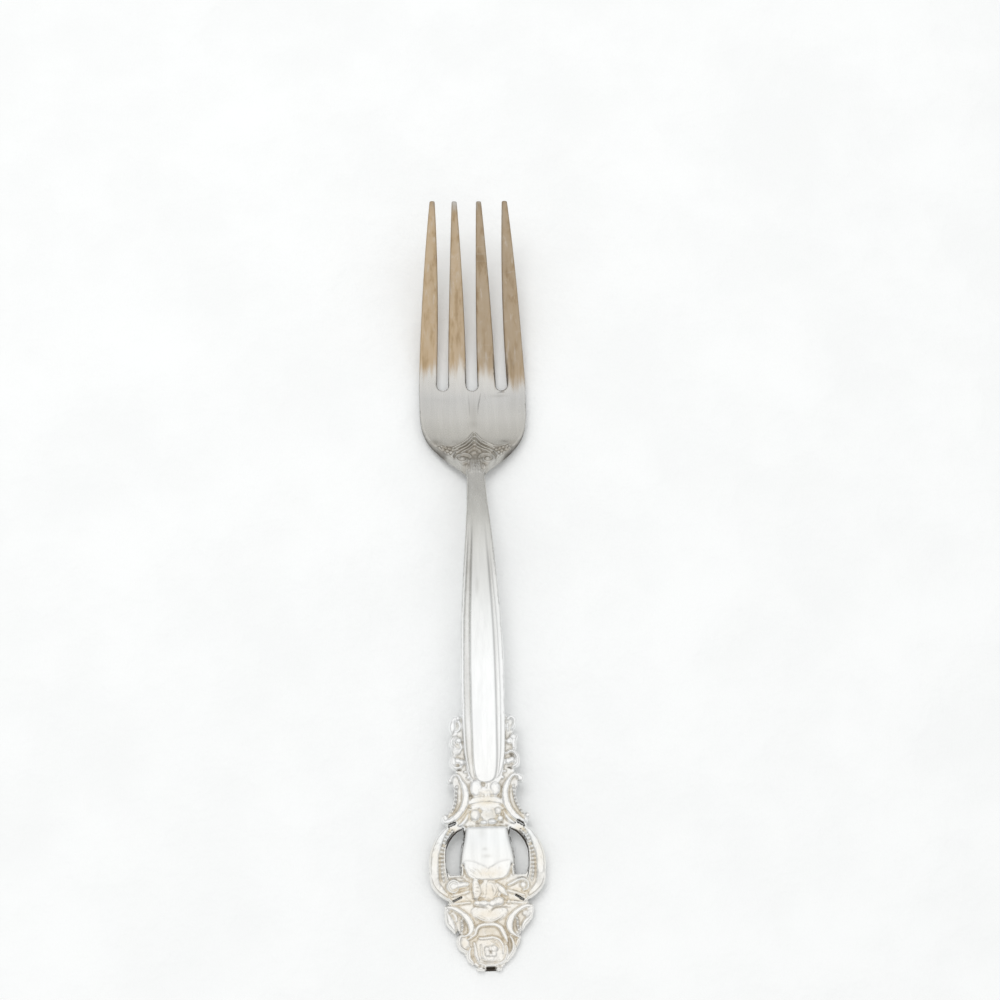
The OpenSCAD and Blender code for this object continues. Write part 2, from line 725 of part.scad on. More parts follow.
// The beads keep to the inside of the crescent, and their row runs on to the top corner of the cartouche
function arm_bead_path(side) =
    let (arm = arm_path(side))
    concat(
        [for (i = [0:len(arm) - 1])
            let (share = (arm[i][1] - window_v) / window_bay_l)
            if (share > arm_bead_span_shares[0] && share < arm_bead_span_shares[1])
                let (d = heading(arm, i))
                let (reach = arm[i][2] + arm_gap + bead_r)
                [arm[i][0] - side * d[1] * reach, arm[i][1] + side * d[0] * reach, bead_r, bead_r]],
        [[
            side * (cartouche_w / 2 + 2 * bead_r), window_v + arm_bead_top_share * window_bay_l,
            bead_r, bead_r
        ]]
    );

module arm_beads(side) {
    color(cream_silver)
        on_handle()
            beads(arm_bead_path(side));
}
module arm_beads_left() arm_beads(left);
module arm_beads_right() arm_beads(right);

// Half width of the cartouche along its length, from its point to its top
cartouche_shares = [
    [0.315, 0.04], [0.345, 0.2], [0.385, 0.5], [0.425, 0.8], [0.46, 0.955], [0.52, 1], [0.6, 0.985],
    [0.69, 0.94], [0.79, 0.88], [0.89, 0.84], [0.955, 0.82], [0.99, 0.78]
];
cartouche_end_shares = [[0.315, 0.25], [0.4, 0.75], [0.52, 1], [0.8, 1], [0.95, 0.8], [0.99, 0.4]];
cartouche_across_shares = [-1, -0.92, -0.7, -0.4, 0, 0.4, 0.7, 0.92, 1];
cartouche_edge_share = 0.2;
function crowned(c) = cartouche_edge_share + (1 - cartouche_edge_share) * sqrt(1 - c ^ 2);

// Smooth swelling shield between the windows
module cartouche() {
    rows = cartouche_shares;
    function cartouche_row(r, up) = [
        for (c = cartouche_across_shares)
            let (h = up * cartouche_rise * eased(cartouche_end_shares, r[0]) * crowned(c))
            on_plate(c * r[1] * cartouche_w / 2, window_v + r[0] * window_bay_l, h)
    ];
    color(silver)
        on_handle()
            slab([for (r = rows) cartouche_row(r, 1)], [for (r = rows) cartouche_row(r, 0)]);
}

// Two leaves that hold the point of the cartouche
calyx_shares = [
    [0.42, 0.372, 0.4, 0.5], [0.325, 0.322, 1, 0.9], [0.2, 0.27, 1.2, 1], [0.08, 0.235, 0.6, 0.6]
];
module cartouche_calyx() {
    color(cream_silver)
        on_handle()
            for (side = [left, right])
                relief(window_path(calyx_shares, side, leaf_band, leaf_rise), leaf_shares, on_plate);
}

// Ring that runs off into a tail towards the middle
function volute_path(side) =
    let (r = volute_shares[2] * window_bay_l)
    let (x = volute_shares[0] * arms_w / 2)
    let (v = window_v + volute_shares[1] * window_bay_l)
    concat(
        curl(x, v, r, r, volute_arc[0], volute_arc[1], curl_share * scroll_band, scroll_rise, side),
        window_path(volute_tail_shares, side, curl_share * scroll_band, scroll_rise)
    );
module volute(side) {
    color(cream_silver)
        on_handle()
            relief(volute_path(side), round_shares, on_plate);
}
module volute_left() volute(left);
module volute_right() volute(right);

// Blossom under the cartouche: a middle petal and two side petals
blossom_shares = [
    [[0, 0.2, 0.6, 0.6], [0, 0.115, 1.5, 1.1], [0, 0.025, 0.6, 0.6]],
    [[0.235, 0.185, 0.6, 0.6], [0.21, 0.105, 1.2, 1], [0.15, 0.02, 0.6, 0.6]]
];
module lower_blossom() {
    color(cream_silver)
        on_handle() {
            relief(window_path(blossom_shares[0], right, leaf_band, leaf_rise), leaf_shares, on_plate);
            for (side = [left, right])
                relief(window_path(blossom_shares[1], side, leaf_band, leaf_rise), leaf_shares, on_plate);
        }
}

// End of the handle: scrolls, leaves and the rose

end_scroll_shares = [
    [0.94, 0.925, 0.7, 0.7], [0.83, 0.942, 1, 1], [0.69, 0.9, 1, 1], [0.57, 0.815, 1, 1],
    [0.495, 0.7, 1, 1], [0.475, 0.59, 0.9, 1], [0.5, 0.515, 0.6, 0.7]
];
end_leaf_shares = [
    [0.925, 0.86, 0.5, 0.6], [0.88, 0.775, 0.95, 1], [0.815, 0.68, 1, 1], [0.74, 0.58, 0.6, 0.6]
];
end_bead_shares = [[0.665, 0.8, 1, 1], [0.615, 0.715, 1, 1], [0.595, 0.63, 1, 1], [0.605, 0.545, 1, 1]];
swag_shares = [[0.35, 0.93, 0.6, 0.6], [0.25, 0.86, 1.3, 1], [0.15, 0.8, 1.2, 1], [0.06, 0.755, 0.5, 0.6]];
hood_shares = [
    [-0.38, 0.51, 0.7, 0.8], [-0.335, 0.6, 1, 1], [-0.2, 0.665, 1.1, 1], [0, 0.685, 1.15, 1],
    [0.2, 0.665, 1.1, 1], [0.335, 0.6, 1, 1], [0.38, 0.51, 0.7, 0.8]
];
rose_leaf_shares = [
    [0.665, 0.5, 0.5, 0.6], [0.655, 0.43, 1.05, 1], [0.61, 0.35, 1.15, 1], [0.54, 0.27, 0.6, 0.6]
];
rose_centre_share = 0.3;
rose_outer_shares = [0.375, 0.235];
petal_spread = 64;
rose_inner_shares = [0.235, 0.15];
inner_share = 0.5;
petal_count = 5;
tip_shares = [[0.24, 0], [0.26, 0.05], [-0.26, 0.05], [-0.24, 0]];

function rose_path(rows, side, band, rise, steps = 3) =
    bay_path(rose_bay, rows, side, band, rise, steps);

module end_scroll(side) {
    color(cream_silver)
        on_handle()
            relief(rose_path(end_scroll_shares, side, scroll_band, scroll_rise), round_shares, on_plate);
}
module end_scroll_left() end_scroll(left);
module end_scroll_right() end_scroll(right);

module end_leaf(side) {
    color(cream_silver)
        on_handle()
            relief(rose_path(end_leaf_shares, side, leaf_band, leaf_rise), leaf_shares, on_plate);
}
module end_leaf_left() end_leaf(left);
module end_leaf_right() end_leaf(right);

module end_beads(side) {
    color(cream_silver)
        on_handle()
            beads(rose_path(end_bead_shares, side, bead_r, bead_r));
}
module end_beads_left() end_beads(left);
module end_beads_right() end_beads(right);

module swag_leaves() {
    color(cream_silver)
        on_handle()
            for (side = [left, right])
                relief(rose_path(swag_shares, side, leaf_band, leaf_rise), leaf_shares, on_plate);
}

// Arched petal that stands over the rose
module rose_hood() {
    color(cream_silver)
        on_handle()
            relief(rose_path(hood_shares, right, scroll_band, scroll_rise), round_shares, on_plate);
}

module rose_leaf(side) {
    color(cream_silver)
        on_handle()
            relief(rose_path(rose_leaf_shares, side, leaf_band, leaf_rise), leaf_shares, on_plate);
}
module rose_leaf_left() rose_leaf(left);
module rose_leaf_right() rose_leaf(right);

rose_v = rose_centre_share * rose_bay_l;

// A ring of petals round the rose's heart, turned by a given angle
module petal_ring(ring_shares, turn, band) {
    for (k = [0:petal_count - 1])
        relief(
            petal(
                rose_v, ring_shares[0] * rose_bay_w / 2, ring_shares[1] * rose_bay_l,
                turn + 360 * k / petal_count, petal_spread, band, leaf_rise
            ),
            leaf_shares, on_plate
        );
}

module rose_outer_petals() {
    color(cream_silver) on_handle() petal_ring(rose_outer_shares, 90, leaf_band);
}
module rose_inner_petals() {
    color(cream_silver) on_handle() petal_ring(rose_inner_shares, -90, inner_share * leaf_band);
}
module rose_heart() {
    color(cream_silver)
        on_handle()
            translate([0, rose_v, plate_t])
                heart(rose_heart_r, leaf_rise);
}

// Blunt block at the very end
module end_tip() {
    color(cream_silver)
        on_handle()
            translate([0, 0, plate_t])
                linear_extrude(leaf_rise)
                    polygon([for (s = tip_shares) [s[0] * rose_bay_w / 2, s[1] * rose_bay_l]]);
}

// The plate that carries the handle's ornament: its outline follows the ornament's own paths

module both_sides() {
    children();
    mirror([1, 0, 0]) children();
}

// Everything that stands on one half of the plate, flat
module ornament_outline() {
    for (row = crest_curl_shares)
        footprint(crest_curl(row, right));
    footprint(shoulder_scroll_path(right));
    footprint(shoulder_path(shoulder_bead_shares, right, bead_r, bead_r));
    footprint(arm_path(right));
    footprint(arm_bead_path(right));
    footprint(volute_path(right));
    footprint(rose_path(end_scroll_shares, right, scroll_band, scroll_rise));
    footprint(rose_path(end_leaf_shares, right, leaf_band, leaf_rise));
    footprint(rose_path(end_bead_shares, right, bead_r, bead_r));
    footprint(rose_path(rose_leaf_shares, right, leaf_band, leaf_rise));
}

// Solid middle of the plate, from the end to the stem: [width share, bay, length share]
core_shares = [
    [0.23, rose_bay, 0], [0.3, rose_bay, 0.075], [0.42, rose_bay, 0.14], [0.52, rose_bay, 0.21],
    [0.59, rose_bay, 0.28], [0.63, rose_bay, 0.38], [0.6, rose_bay, 0.5], [0.5, rose_bay, 0.6],
    [0.86, rose_bay, 0.9], [0.92, rose_bay, 0.98], [0.74, window_bay, 0.05], [0.75, window_bay, 0.3],
    [0.7, window_bay, 0.9], [0.68, window_bay, 0.985], [0.9, shoulder_bay, 0.015], [0.5, shoulder_bay, 0.25],
    [0.46, shoulder_bay, 0.5], [0.5, shoulder_bay, 0.9], [0.69, shoulder_bay, 0.96], [0.86, crest_bay, 0.03],
    [0.79, crest_bay, 0.1], [0.78, crest_bay, 0.5], [0.8, crest_bay, 0.93], [0.65, crest_bay, 1]
];
module core_outline() {
    side = [for (s = core_shares) [s[0] * bays[s[1]][1] / 2, bays[s[1]][0] + s[2] * bays[s[1]][2]]];
    polygon(concat([[0, 0]], side, [[0, handle_l]]));
}

// The right window: between the cartouche and the beads of the arm
window_shares = [
    [0.378, 0.99], [0.43, 1], [0.52, 1], [0.6, 1], [0.69, 1], [0.79, 1], [0.87, 1], [0.93, 1]
];
window_foot_share = 0.5;
module window_outline() {
    beads_side = [for (p = arm_bead_path(right)) [p[1], p[0]]];
    low_v = window_v + window_shares[0][0] * window_bay_l;
    cartouche_side = [
        for (r = window_shares)
            let (v = window_v + r[0] * window_bay_l)
            let (swell = r[0] < window_foot_share ? 1 : eased(cartouche_shares, r[0]))
            [swell * cartouche_w / 2 + window_wall, v]
    ];
    arm_side = [
        for (p = beads_side)
            if (p[0] > low_v + bead_r && p[1] - bead_r - 2 * window_wall > cartouche_w / 2)
                [p[1] - bead_r - window_wall, p[0]]
    ];
    floor_x = eased(beads_side, low_v) - bead_r - window_wall;
    offset(r = plate_fillet / 2)
        offset(r = -plate_fillet / 2)
            polygon(concat(
                cartouche_side,
                [for (i = [len(arm_side) - 1:-1:0]) arm_side[i]],
                [[floor_x, low_v]]
            ));
}

waist_slit_shares = [[0.46, 0.06, 1, 1], [0.585, 0.012, 1, 1]];
shoulder_slit_shares = [[0.7, 0.045, 1, 1], [0.865, 0.005, 1, 1]];

module plate_outline() {
    offset(r = -plate_fillet)
        offset(r = plate_fillet + plate_lip)
            both_sides() {
                ornament_outline();
                core_outline();
            }
}

module handle_plate() {
    color(silver)
        difference() {
            on_handle()
                intersection() {
                    linear_extrude(plate_t)
                        difference() {
                            plate_outline();
                            both_sides() {
                                window_outline();
                                footprint(window_path(waist_slit_shares, right, slit_w / 2, slit_w));
                                footprint(shoulder_path(shoulder_slit_shares, right, slit_w / 2, slit_w));
                            }
                        }
                    translate([-arms_w, 0, -plate_t])
                        cube([2 * arms_w, handle_l, 3 * plate_t]);
                }
            translate([-arms_w, -fork_l, -fork_l])
                cube([2 * arms_w, 2 * fork_l, fork_l]);
        }
}

tine_outer_left();
tine_inner_left();
tine_inner_right();
tine_outer_right();
palm();
heel_ogee();
heel_ribs();
heel_scroll_left();
heel_scroll_right();
heel_leaf_left();
heel_leaf_right();
neck();
stem();
stem_panel();
stem_border_left();
stem_border_right();
handle_plate();
crest_scrolls_left();
crest_scrolls_right();
collar_leaf();
collar_band();
collar_flower();
shoulder_scroll_left();
shoulder_scroll_right();
shoulder_beads_left();
shoulder_beads_right();
frame_arm_left();
frame_arm_right();
arm_beads_left();
arm_beads_right();
cartouche();
cartouche_calyx();
volute_left();
volute_right();
lower_blossom();
swag_leaves();
end_scroll_left();
end_scroll_right();
end_beads_left();
end_beads_right();
end_leaf_left();
end_leaf_right();
rose_hood();
rose_leaf_left();
rose_leaf_right();
rose_outer_petals();
rose_inner_petals();
rose_heart();
end_tip();
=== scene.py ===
import math
import bpy
import numpy as np
from mathutils import Matrix, Vector
from mathutils.geometry import delaunay_2d_cdt


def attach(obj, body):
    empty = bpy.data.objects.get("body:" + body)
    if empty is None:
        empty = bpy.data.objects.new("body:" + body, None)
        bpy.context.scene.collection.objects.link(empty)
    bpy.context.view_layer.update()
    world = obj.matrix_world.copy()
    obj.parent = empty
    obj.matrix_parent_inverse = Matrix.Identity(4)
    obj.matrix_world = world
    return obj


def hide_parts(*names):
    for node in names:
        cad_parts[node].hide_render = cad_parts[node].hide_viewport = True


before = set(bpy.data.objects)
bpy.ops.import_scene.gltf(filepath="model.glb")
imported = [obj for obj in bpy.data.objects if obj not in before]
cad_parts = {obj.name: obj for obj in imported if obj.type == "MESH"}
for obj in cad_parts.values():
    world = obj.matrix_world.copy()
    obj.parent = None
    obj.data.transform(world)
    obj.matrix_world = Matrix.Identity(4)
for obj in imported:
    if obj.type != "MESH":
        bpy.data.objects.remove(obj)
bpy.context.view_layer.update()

# Dinner fork on pale cloth. Sizes in this script are in mm unless a name says otherwise: x across the fork,
# y along it from the handle to the tips, and heights above the underside or above the handle's plate.
mm = 0.001


# numbers and curves
def smoothStep(low, high, value):
    t = np.clip((value - low) / (high - low), 0, 1)
    return t * t * (3 - 2 * t)


def hump(span, value):
    # rises between the first two places and falls between the last two
    return smoothStep(span[0], span[1], value) * (1 - smoothStep(span[2], span[3], value))


def cubic(t, span, v0, v1, s0, s1):
    # from one value and slope to the next, over a span
    return (v0 * (1 + 2 * t) * (1 - t) ** 2 + v1 * (3 - 2 * t) * t * t
            + span * t * (1 - t) * (s0 * (1 - t) - s1 * t))


def easedTable(table, at):
    # smooth curve through [place, value] rows, level beyond the ends
    places, values = (np.array(column, float) for column in zip(*table))
    steps = np.diff(values) / np.diff(places)
    slopes = np.zeros(len(values))
    both = steps[:-1] * steps[1:] > 0
    slopes[1:-1][both] = 2 * steps[:-1][both] * steps[1:][both] / (steps[:-1] + steps[1:])[both]
    at = np.clip(at, places[0], places[-1])
    i = np.clip(np.searchsorted(places, at) - 1, 0, len(places) - 2)
    span = places[i + 1] - places[i]
    return cubic((at - places[i]) / span, span, values[i], values[i + 1], slopes[i], slopes[i + 1])


def smoothPath(rows, steps=8):
    # Catmull-Rom curve through rows of any length
    rows = np.array(rows, float)
    padded = np.vstack([2 * rows[0] - rows[1], rows, 2 * rows[-1] - rows[-2]])
    t = np.linspace(0, 1, steps, endpoint=False)[:, None]
    path = []
    for a, b, c, d in zip(padded, padded[1:], padded[2:], padded[3:]):
        path.append((2 * b + (c - a) * t + (2 * a - 5 * b + 4 * c - d) * t ** 2
                     + (3 * b - a - 3 * c + d) * t ** 3) / 2)
    return np.vstack(path + [rows[-1:]])


# side view: lengths along the fork, heights of its arch and tips, and tilts in degrees
sideView = {
    "length": 190.5, "archHeight": 8.9, "tipRise": 15.0, "tipTilt": 21.8, "tipInset": 0.22,
    "handleTilt": 5.4, "restCut": 0.1, "restLength": 3.0, "restShare": 0.7,
    "tineLength": 45.4, "palmLength": 25.85, "neckLength": 16.0, "archBack": 6.0,
    "handleLength": 58.2, "endRise": 2.1,
}
tiltSine = math.sin(math.radians(sideView["handleTilt"]))
tiltSlope = math.tan(math.radians(sideView["handleTilt"]))
tipY = sideView["length"] / 2 + sideView["tipInset"] * math.sin(math.radians(sideView["tipTilt"]))
crotchY = tipY - sideView["tineLength"]
palmY = crotchY - sideView["palmLength"]
panelY = palmY - sideView["neckLength"]
archY = panelY - sideView["archBack"]
handleY = -sideView["length"] / 2 + sideView["endRise"] * tiltSine
jointY = handleY + sideView["handleLength"] * math.cos(math.radians(sideView["handleTilt"]))
restY = palmY + sideView["restShare"] * sideView["palmLength"]
stations = [
    (handleY, -sideView["restCut"], tiltSlope),
    (jointY, (jointY - handleY) * tiltSlope - sideView["restCut"], tiltSlope),
    (archY, sideView["archHeight"], 0.0),
    (restY - sideView["restLength"] / 2, 0.0, 0.0),
    (restY + sideView["restLength"] / 2, 0.0, 0.0),
    (tipY, sideView["tipRise"], math.tan(math.radians(sideView["tipTilt"]))),
]


def undersideAt(y):
    # height and slope of the underside, as one smooth curve through the stations
    y = np.clip(y, stations[0][0], stations[-1][0])
    height, slope = np.zeros_like(y), np.zeros_like(y)
    for (y0, z0, s0), (y1, z1, s1) in zip(stations, stations[1:]):
        here = (y >= y0) & (y <= y1)
        span = y1 - y0
        t = (y[here] - y0) / span
        height[here] = cubic(t, span, z0, z1, s0, s1)
        slope[here] = 6 * (z1 - z0) * t * (1 - t) / span + s0 * (1 - t) * (1 - 3 * t) + s1 * t * (3 * t - 2)
    return height, slope


def pointsAt(x, y, rise):
    # points at a height square to the underside, in metres
    height, slope = undersideAt(y)
    lean = np.arctan(slope)
    low = np.maximum(height + rise * np.cos(lean), 0)
    return np.stack([x, y - rise * np.sin(lean), low], 1) * mm


# plan: rasters over the whole fork hold its outline, its relief, and its black tarnish with painted shade
cell = 0.08
halfColumns = 172
firstRow, rowCount = -96.0, 2400
gridX = np.arange(-halfColumns, halfColumns + 1) * cell
gridY = firstRow + np.arange(rowCount) * cell
planX, planY = np.meshgrid(gridX, gridY)
acrossX = np.abs(planX)


def insideHalf(table, y, x, steepest=math.inf):
    # how far rows of cells lie inside half widths that change along the fork, measured square to the outline
    half = easedTable(table, y)
    steepness = np.sqrt(1 + np.minimum(np.gradient(half, cell) ** 2, steepest ** 2))
    return (half[:, None] - x) / steepness[:, None]


def readPlan(field, x, y):
    # a raster's value at any points, from the four cells round each
    column = np.clip((x - gridX[0]) / cell, 0, len(gridX) - 1.001)
    row = np.clip((y - gridY[0]) / cell, 0, len(gridY) - 1.001)
    i, j = row.astype(int), column.astype(int)
    u, v = row - i, column - j
    return ((field[i, j] * (1 - v) + field[i, j + 1] * v) * (1 - u)
            + (field[i + 1, j] * (1 - v) + field[i + 1, j + 1] * v) * u)


def soften(field, radius):
    # Gaussian blur
    reach = int(math.ceil(2.5 * radius / cell))
    taps = np.exp(-0.5 * (np.arange(-reach, reach + 1) * cell / radius) ** 2)
    taps /= taps.sum()
    for axis in (0, 1):
        pad = [(reach, reach) if axis == a else (0, 0) for a in (0, 1)]
        wide = np.pad(field, pad, mode="edge")
        span = field.shape[axis]
        field = sum(tap * wide.take(range(k, k + span), axis) for k, tap in enumerate(taps))
    return field


# outline of the stem, neck and palm, with the slots' round ends
bodyShape = {
    "halfWidths": [
        (-37.2, 5.05), (-31, 5.15), (-24, 5.12), (-17.5, 4.9), (-11, 4.55), (-4, 4.02), (3, 3.48), (9, 2.98),
        (15, 2.52), (20, 2.3), (23.4, 2.2), (24.5, 2.45), (25.5, 3.3), (27, 5.05), (29, 7.4), (31, 9.4),
        (33, 11.0), (35, 12.1), (38, 12.95), (42, 13.35), (47, 13.4),
    ],
    "palmWidth": 26.8, "slotWidth": 2.9,
}
rootWidth = (bodyShape["palmWidth"] - 3 * bodyShape["slotWidth"]) / 4
rootPitch = rootWidth + bodyShape["slotWidth"]


def bodyField():
    field = insideHalf(bodyShape["halfWidths"], gridY, acrossX)
    for k in (-1, 0, 1):
        toSlot = np.hypot(planX - k * rootPitch, planY - crotchY) - bodyShape["slotWidth"] / 2
        field = np.minimum(field, toSlot)
    return field


# tines from left to right: they taper, draw together and lean a little, each by its own amount
tineShape = {
    "tipPitch": 6.1, "tipWidth": 1.3, "leans": [-0.2, -0.7, -0.6, -0.15], "fullness": [2.4, 1.75, 1.75, 2.4],
    "noseLength": 0.5, "noseSquareness": 3.0,
}


def tineField(k):
    s = np.clip((planY - crotchY) / sideView["tineLength"], 0, 1)
    middle = (k - 1.5) * (rootPitch + (tineShape["tipPitch"] - rootPitch) * s) + tineShape["leans"][k] * s ** 2
    taper = 1 - s ** tineShape["fullness"][k]
    half = (tineShape["tipWidth"] + (rootWidth - tineShape["tipWidth"]) * taper) / 2
    noseStart = tipY - tineShape["noseLength"]
    pastNose = np.maximum(planY - noseStart, 0) * half / tineShape["noseLength"]
    squareness = tineShape["noseSquareness"]
    return half - (np.abs(planX - middle) ** squareness + pastNose ** squareness) ** (1 / squareness)


# relief: each ornament adds its height to one raster, and its footprint to the handle's outline; a groove takes
# metal away and may hold darkness, from 0 to 1: black tarnish in creases, painted shade on shaded walls and openings
relief = np.full_like(planX, -1.0)
footprint = np.full_like(planX, -9.0)
carved = np.zeros_like(planX)
sooted = np.zeros_like(planX)


def windowAround(path, reach):
    low, high = path[:, :2].min(0) - reach, path[:, :2].max(0) + reach
    rows = slice(max(int((low[1] - gridY[0]) / cell), 0), int((high[1] - gridY[0]) / cell) + 2)
    columns = slice(max(int((low[0] - gridX[0]) / cell), 0), int((high[0] - gridX[0]) / cell) + 2)
    return rows, columns


def nearPath(path, window):
    # for each cell: distance to the path, signed side, length run along it, and the path's own columns there
    x, y = planX[window], planY[window]
    best = np.full(x.shape, 1e9)
    side, run = np.zeros_like(x), np.zeros_like(x)
    columns = [np.zeros_like(x) for _ in range(path.shape[1] - 2)]
    lengths = np.hypot(*(path[1:, :2] - path[:-1, :2]).T)
    before = np.concatenate([[0], np.cumsum(lengths)])
    for i, (a, b) in enumerate(zip(path[:-1], path[1:])):
        if lengths[i] < 1e-6:
            continue
        d = (b[:2] - a[:2]) / lengths[i]
        t = np.clip((x - a[0]) * d[0] + (y - a[1]) * d[1], 0, lengths[i])
        dx, dy = x - a[0] - t * d[0], y - a[1] - t * d[1]
        away = np.hypot(dx, dy)
        nearer = away < best
        best[nearer] = away[nearer]
        side[nearer] = (dx * d[1] - dy * d[0])[nearer]
        run[nearer] = (before[i] + t)[nearer]
        share = t / lengths[i]
        for k, column in enumerate(columns):
            column[nearer] = (a[2 + k] + (b[2 + k] - a[2 + k]) * share)[nearer]
    return best, side, run, before[-1], columns


def raiseTo(window, height, field=None):
    relief[window] = np.maximum(relief[window], height)
    if field is not None:
        footprint[window] = np.maximum(footprint[window], field)


thinnest = 0.05  # of a ridge's or a groove's half width


def ridge(rows, height=1.0, kind="round", pitch=0.7, edge=True, lip=0.14, grime=0.0):
    # rows of (x, y, half width, share of the height); with edge, the outline follows it at a lip's distance
    path = smoothPath(rows)
    window = windowAround(path, path[:, 2].max() + 1)
    away, side, run, length, (half, share) = nearPath(path, window)
    half = np.maximum(half, thinnest)
    u = np.clip(away / half, 0, 1)
    crown = np.sqrt(1 - u ** 2)
    if kind == "band":  # broad and nearly flat
        crown = np.sqrt(1 - u ** 4) * (0.9 + 0.1 * (1 - u ** 2))
    if kind == "ribbed":  # row of ribs or beads across the path, with dirt between them that fades at its ends
        count = max(round(length / pitch), 1)
        rib = np.abs(np.sin(math.pi * run / length * count))
        crown = crown ** 0.7 * (0.12 + 0.88 * rib ** 0.7)
        fade = smoothStep(0, 0.6, run) * smoothStep(0, 0.6, length - run)
        # the dark between the ribs is black tarnish with painted shade
        between = np.where(away < half, grime * (1 - rib) ** 1.5 * fade, 0)
        sooted[window] = np.maximum(sooted[window], between)
    rise = np.where(away < half, height * share * crown, -1)
    raiseTo(window, rise, half + lip - away if edge else None)


def balls(rows, edge=False):
    # rows of (x, y, radius across, radius along, height) and perhaps the share that is pressed in at the middle
    for row in rows:
        x, y, rx, ry, height, hollow = (*row, 0)[:6]
        window = windowAround(np.array([[x, y, 0, 0]]), max(rx, ry) + 1)
        r = np.hypot((planX[window] - x) / rx, (planY[window] - y) / ry)
        crown = np.sqrt(np.clip(1 - r ** 2.7, 0, 1)) * (1 - hollow * np.exp(-(r / 0.45) ** 2))
        raiseTo(window, np.where(r < 1, height * crown, -1), (1 - r) * min(rx, ry) + 0.1 if edge else None)


# a groove darkens its crease: black tarnish in the ornament, painted shade where it marks shaded walls and openings
def groove(rows, depth, soot=0.0):
    path = smoothPath(rows)
    window = windowAround(path, path[:, 2].max() + 1)
    away, _, _, _, (half, share) = nearPath(path, window)
    mark = share * np.exp(-(away / np.maximum(half, thinnest)) ** 2 * 1.5)
    carved[window] = np.maximum(carved[window], depth * mark)
    sooted[window] = np.maximum(sooted[window], soot * mark)


def mirrored(rows):
    return [(-row[0], *row[1:]) for row in rows]


def onLeft(draw, rows, **ways):
    draw(mirrored(rows), **ways)


def onBoth(draw, rows, **ways):
    draw(rows, **ways)
    onLeft(draw, rows, **ways)


def addCrests():
    # left: a comma lobe and two curls; right: a ring, a bud and a C-scroll
    onLeft(balls, [(6.05, -37.9, 0.65, 0.67, 0.85), (6.95, -41.7, 0.8, 0.6, 0.2), (6, -43.1, 0.84, 0.81, 0.95),
                   (6.6, -45.6, 1.12, 0.95, 0.42)], edge=True)
    onLeft(balls, [(6.35, -47.8, 0.95, 0.78, 1), (5.4, -48.2, 0.84, 0.87, 1)])
    balls([(6.85, -42.45, 1.06, 0.9, 1)], edge=True)
    balls([(5.8, -43.4, 0.81, 0.81, 0.8), (6.3, -47.75, 0.84, 0.81, 1), (5.4, -48.05, 0.84, 0.83, 1)])
    onBoth(balls, [(4.6, -50.35, 0.46, 0.38, 0.6), (3.95, -51.75, 0.52, 0.5, 0.7)])
    onLeft(ridge, [(6.95, -38, 0.44, 0.8), (7.15, -38.8, 0.73, 1), (7.3, -39.8, 0.85, 1), (7.4, -40.7, 0.73, 0.95),
                   (7.45, -41.4, 0.32, 0.7)], height=0.85)
    onLeft(ridge, [(6.4, -38.6, 0.29, 0.6), (5.75, -38.85, 0.37, 0.8), (5.55, -39.7, 0.39, 0.9),
                   (5.75, -40.5, 0.37, 0.8), (6.3, -41, 0.29, 0.6)], height=0.62)
    onLeft(ridge, [(6.5, -42.3, 0.37, 0.7), (7.25, -42.55, 0.49, 0.9), (7.65, -43.4, 0.49, 1), (7.5, -44.3, 0.44, 0.9),
                   (6.8, -44.7, 0.37, 0.7)], height=0.78)
    onLeft(ridge, [(5.6, -43.8, 0.44, 0.8), (5.35, -44.7, 0.39, 0.8), (5.8, -45.5, 0.37, 0.7),
                   (6.4, -46.2, 0.32, 0.6)], height=0.6)
    onLeft(ridge, [(7.35, -46.8, 0.32, 0.6), (7.75, -47.6, 0.41, 0.9), (7.72, -48.5, 0.46, 1), (7.2, -49.25, 0.49, 1),
                   (6.4, -49.5, 0.44, 0.9), (5.5, -49.2, 0.37, 0.7)], height=0.85)
    onLeft(groove, [(7.25, -47.6, 0.16, 0.6), (7.2, -48.3, 0.2, 1), (6.6, -48.75, 0.14, 0.5)], depth=0.25, soot=0.5)
    onLeft(groove, [(6.5, -50, 0.2, 0.6), (6, -49.9, 0.24, 1), (5.4, -50, 0.18, 0.5)], depth=0.3, soot=0.65)
    ridge([(5.65, -38.2, 0.41, 0.8), (6.2, -37.75, 0.56, 1), (6.85, -37.95, 0.51, 1), (7.18, -38.7, 0.44, 1),
           (7.12, -39.5, 0.49, 1), (6.8, -40.2, 0.51, 0.9), (6.35, -40.6, 0.32, 0.6)], height=0.88)
    ridge([(5.55, -39.3, 0.27, 0.7), (5.48, -40.1, 0.34, 0.9), (5.6, -40.9, 0.24, 0.6)], height=0.6)
    ridge([(6.9, -43, 0.61, 1), (6.8, -43.9, 0.61, 0.9), (6.9, -44.9, 0.49, 0.8)], height=0.82)
    ridge([(5.1, -46.2, 0.39, 0.7), (6, -45.75, 0.49, 1), (6.9, -46.05, 0.51, 1), (7.45, -46.9, 0.49, 1),
           (7.66, -47.9, 0.49, 1), (7.35, -48.85, 0.49, 1), (6.5, -49.35, 0.44, 0.9)], height=0.92)
    ridge([(5.2, -48, 0.55, 0.9), (4.6, -48.5, 0.41, 0.7)], height=0.85, edge=False)
    groove([(5.6, -46.55, 0.14, 0.5), (6.25, -46.55, 0.24, 1), (6.9, -47.2, 0.2, 0.7), (7, -48.1, 0.18, 0.6)],
           depth=0.3, soot=0.5)
    groove([(5.1, -49.5, 0.16, 0.5), (5.65, -49.5, 0.24, 1), (6.2, -49.85, 0.2, 0.6)], depth=0.3, soot=0.75)
    onBoth(groove, [(5, -38.5, 0.12, 0.7), (4.95, -42, 0.12, 1), (4.75, -46, 0.12, 0.9), (4.1, -49.4, 0.16, 1),
                    (3.3, -51.3, 0.16, 1), (2.6, -52, 0.12, 0.6)], depth=0.22, soot=0.42)


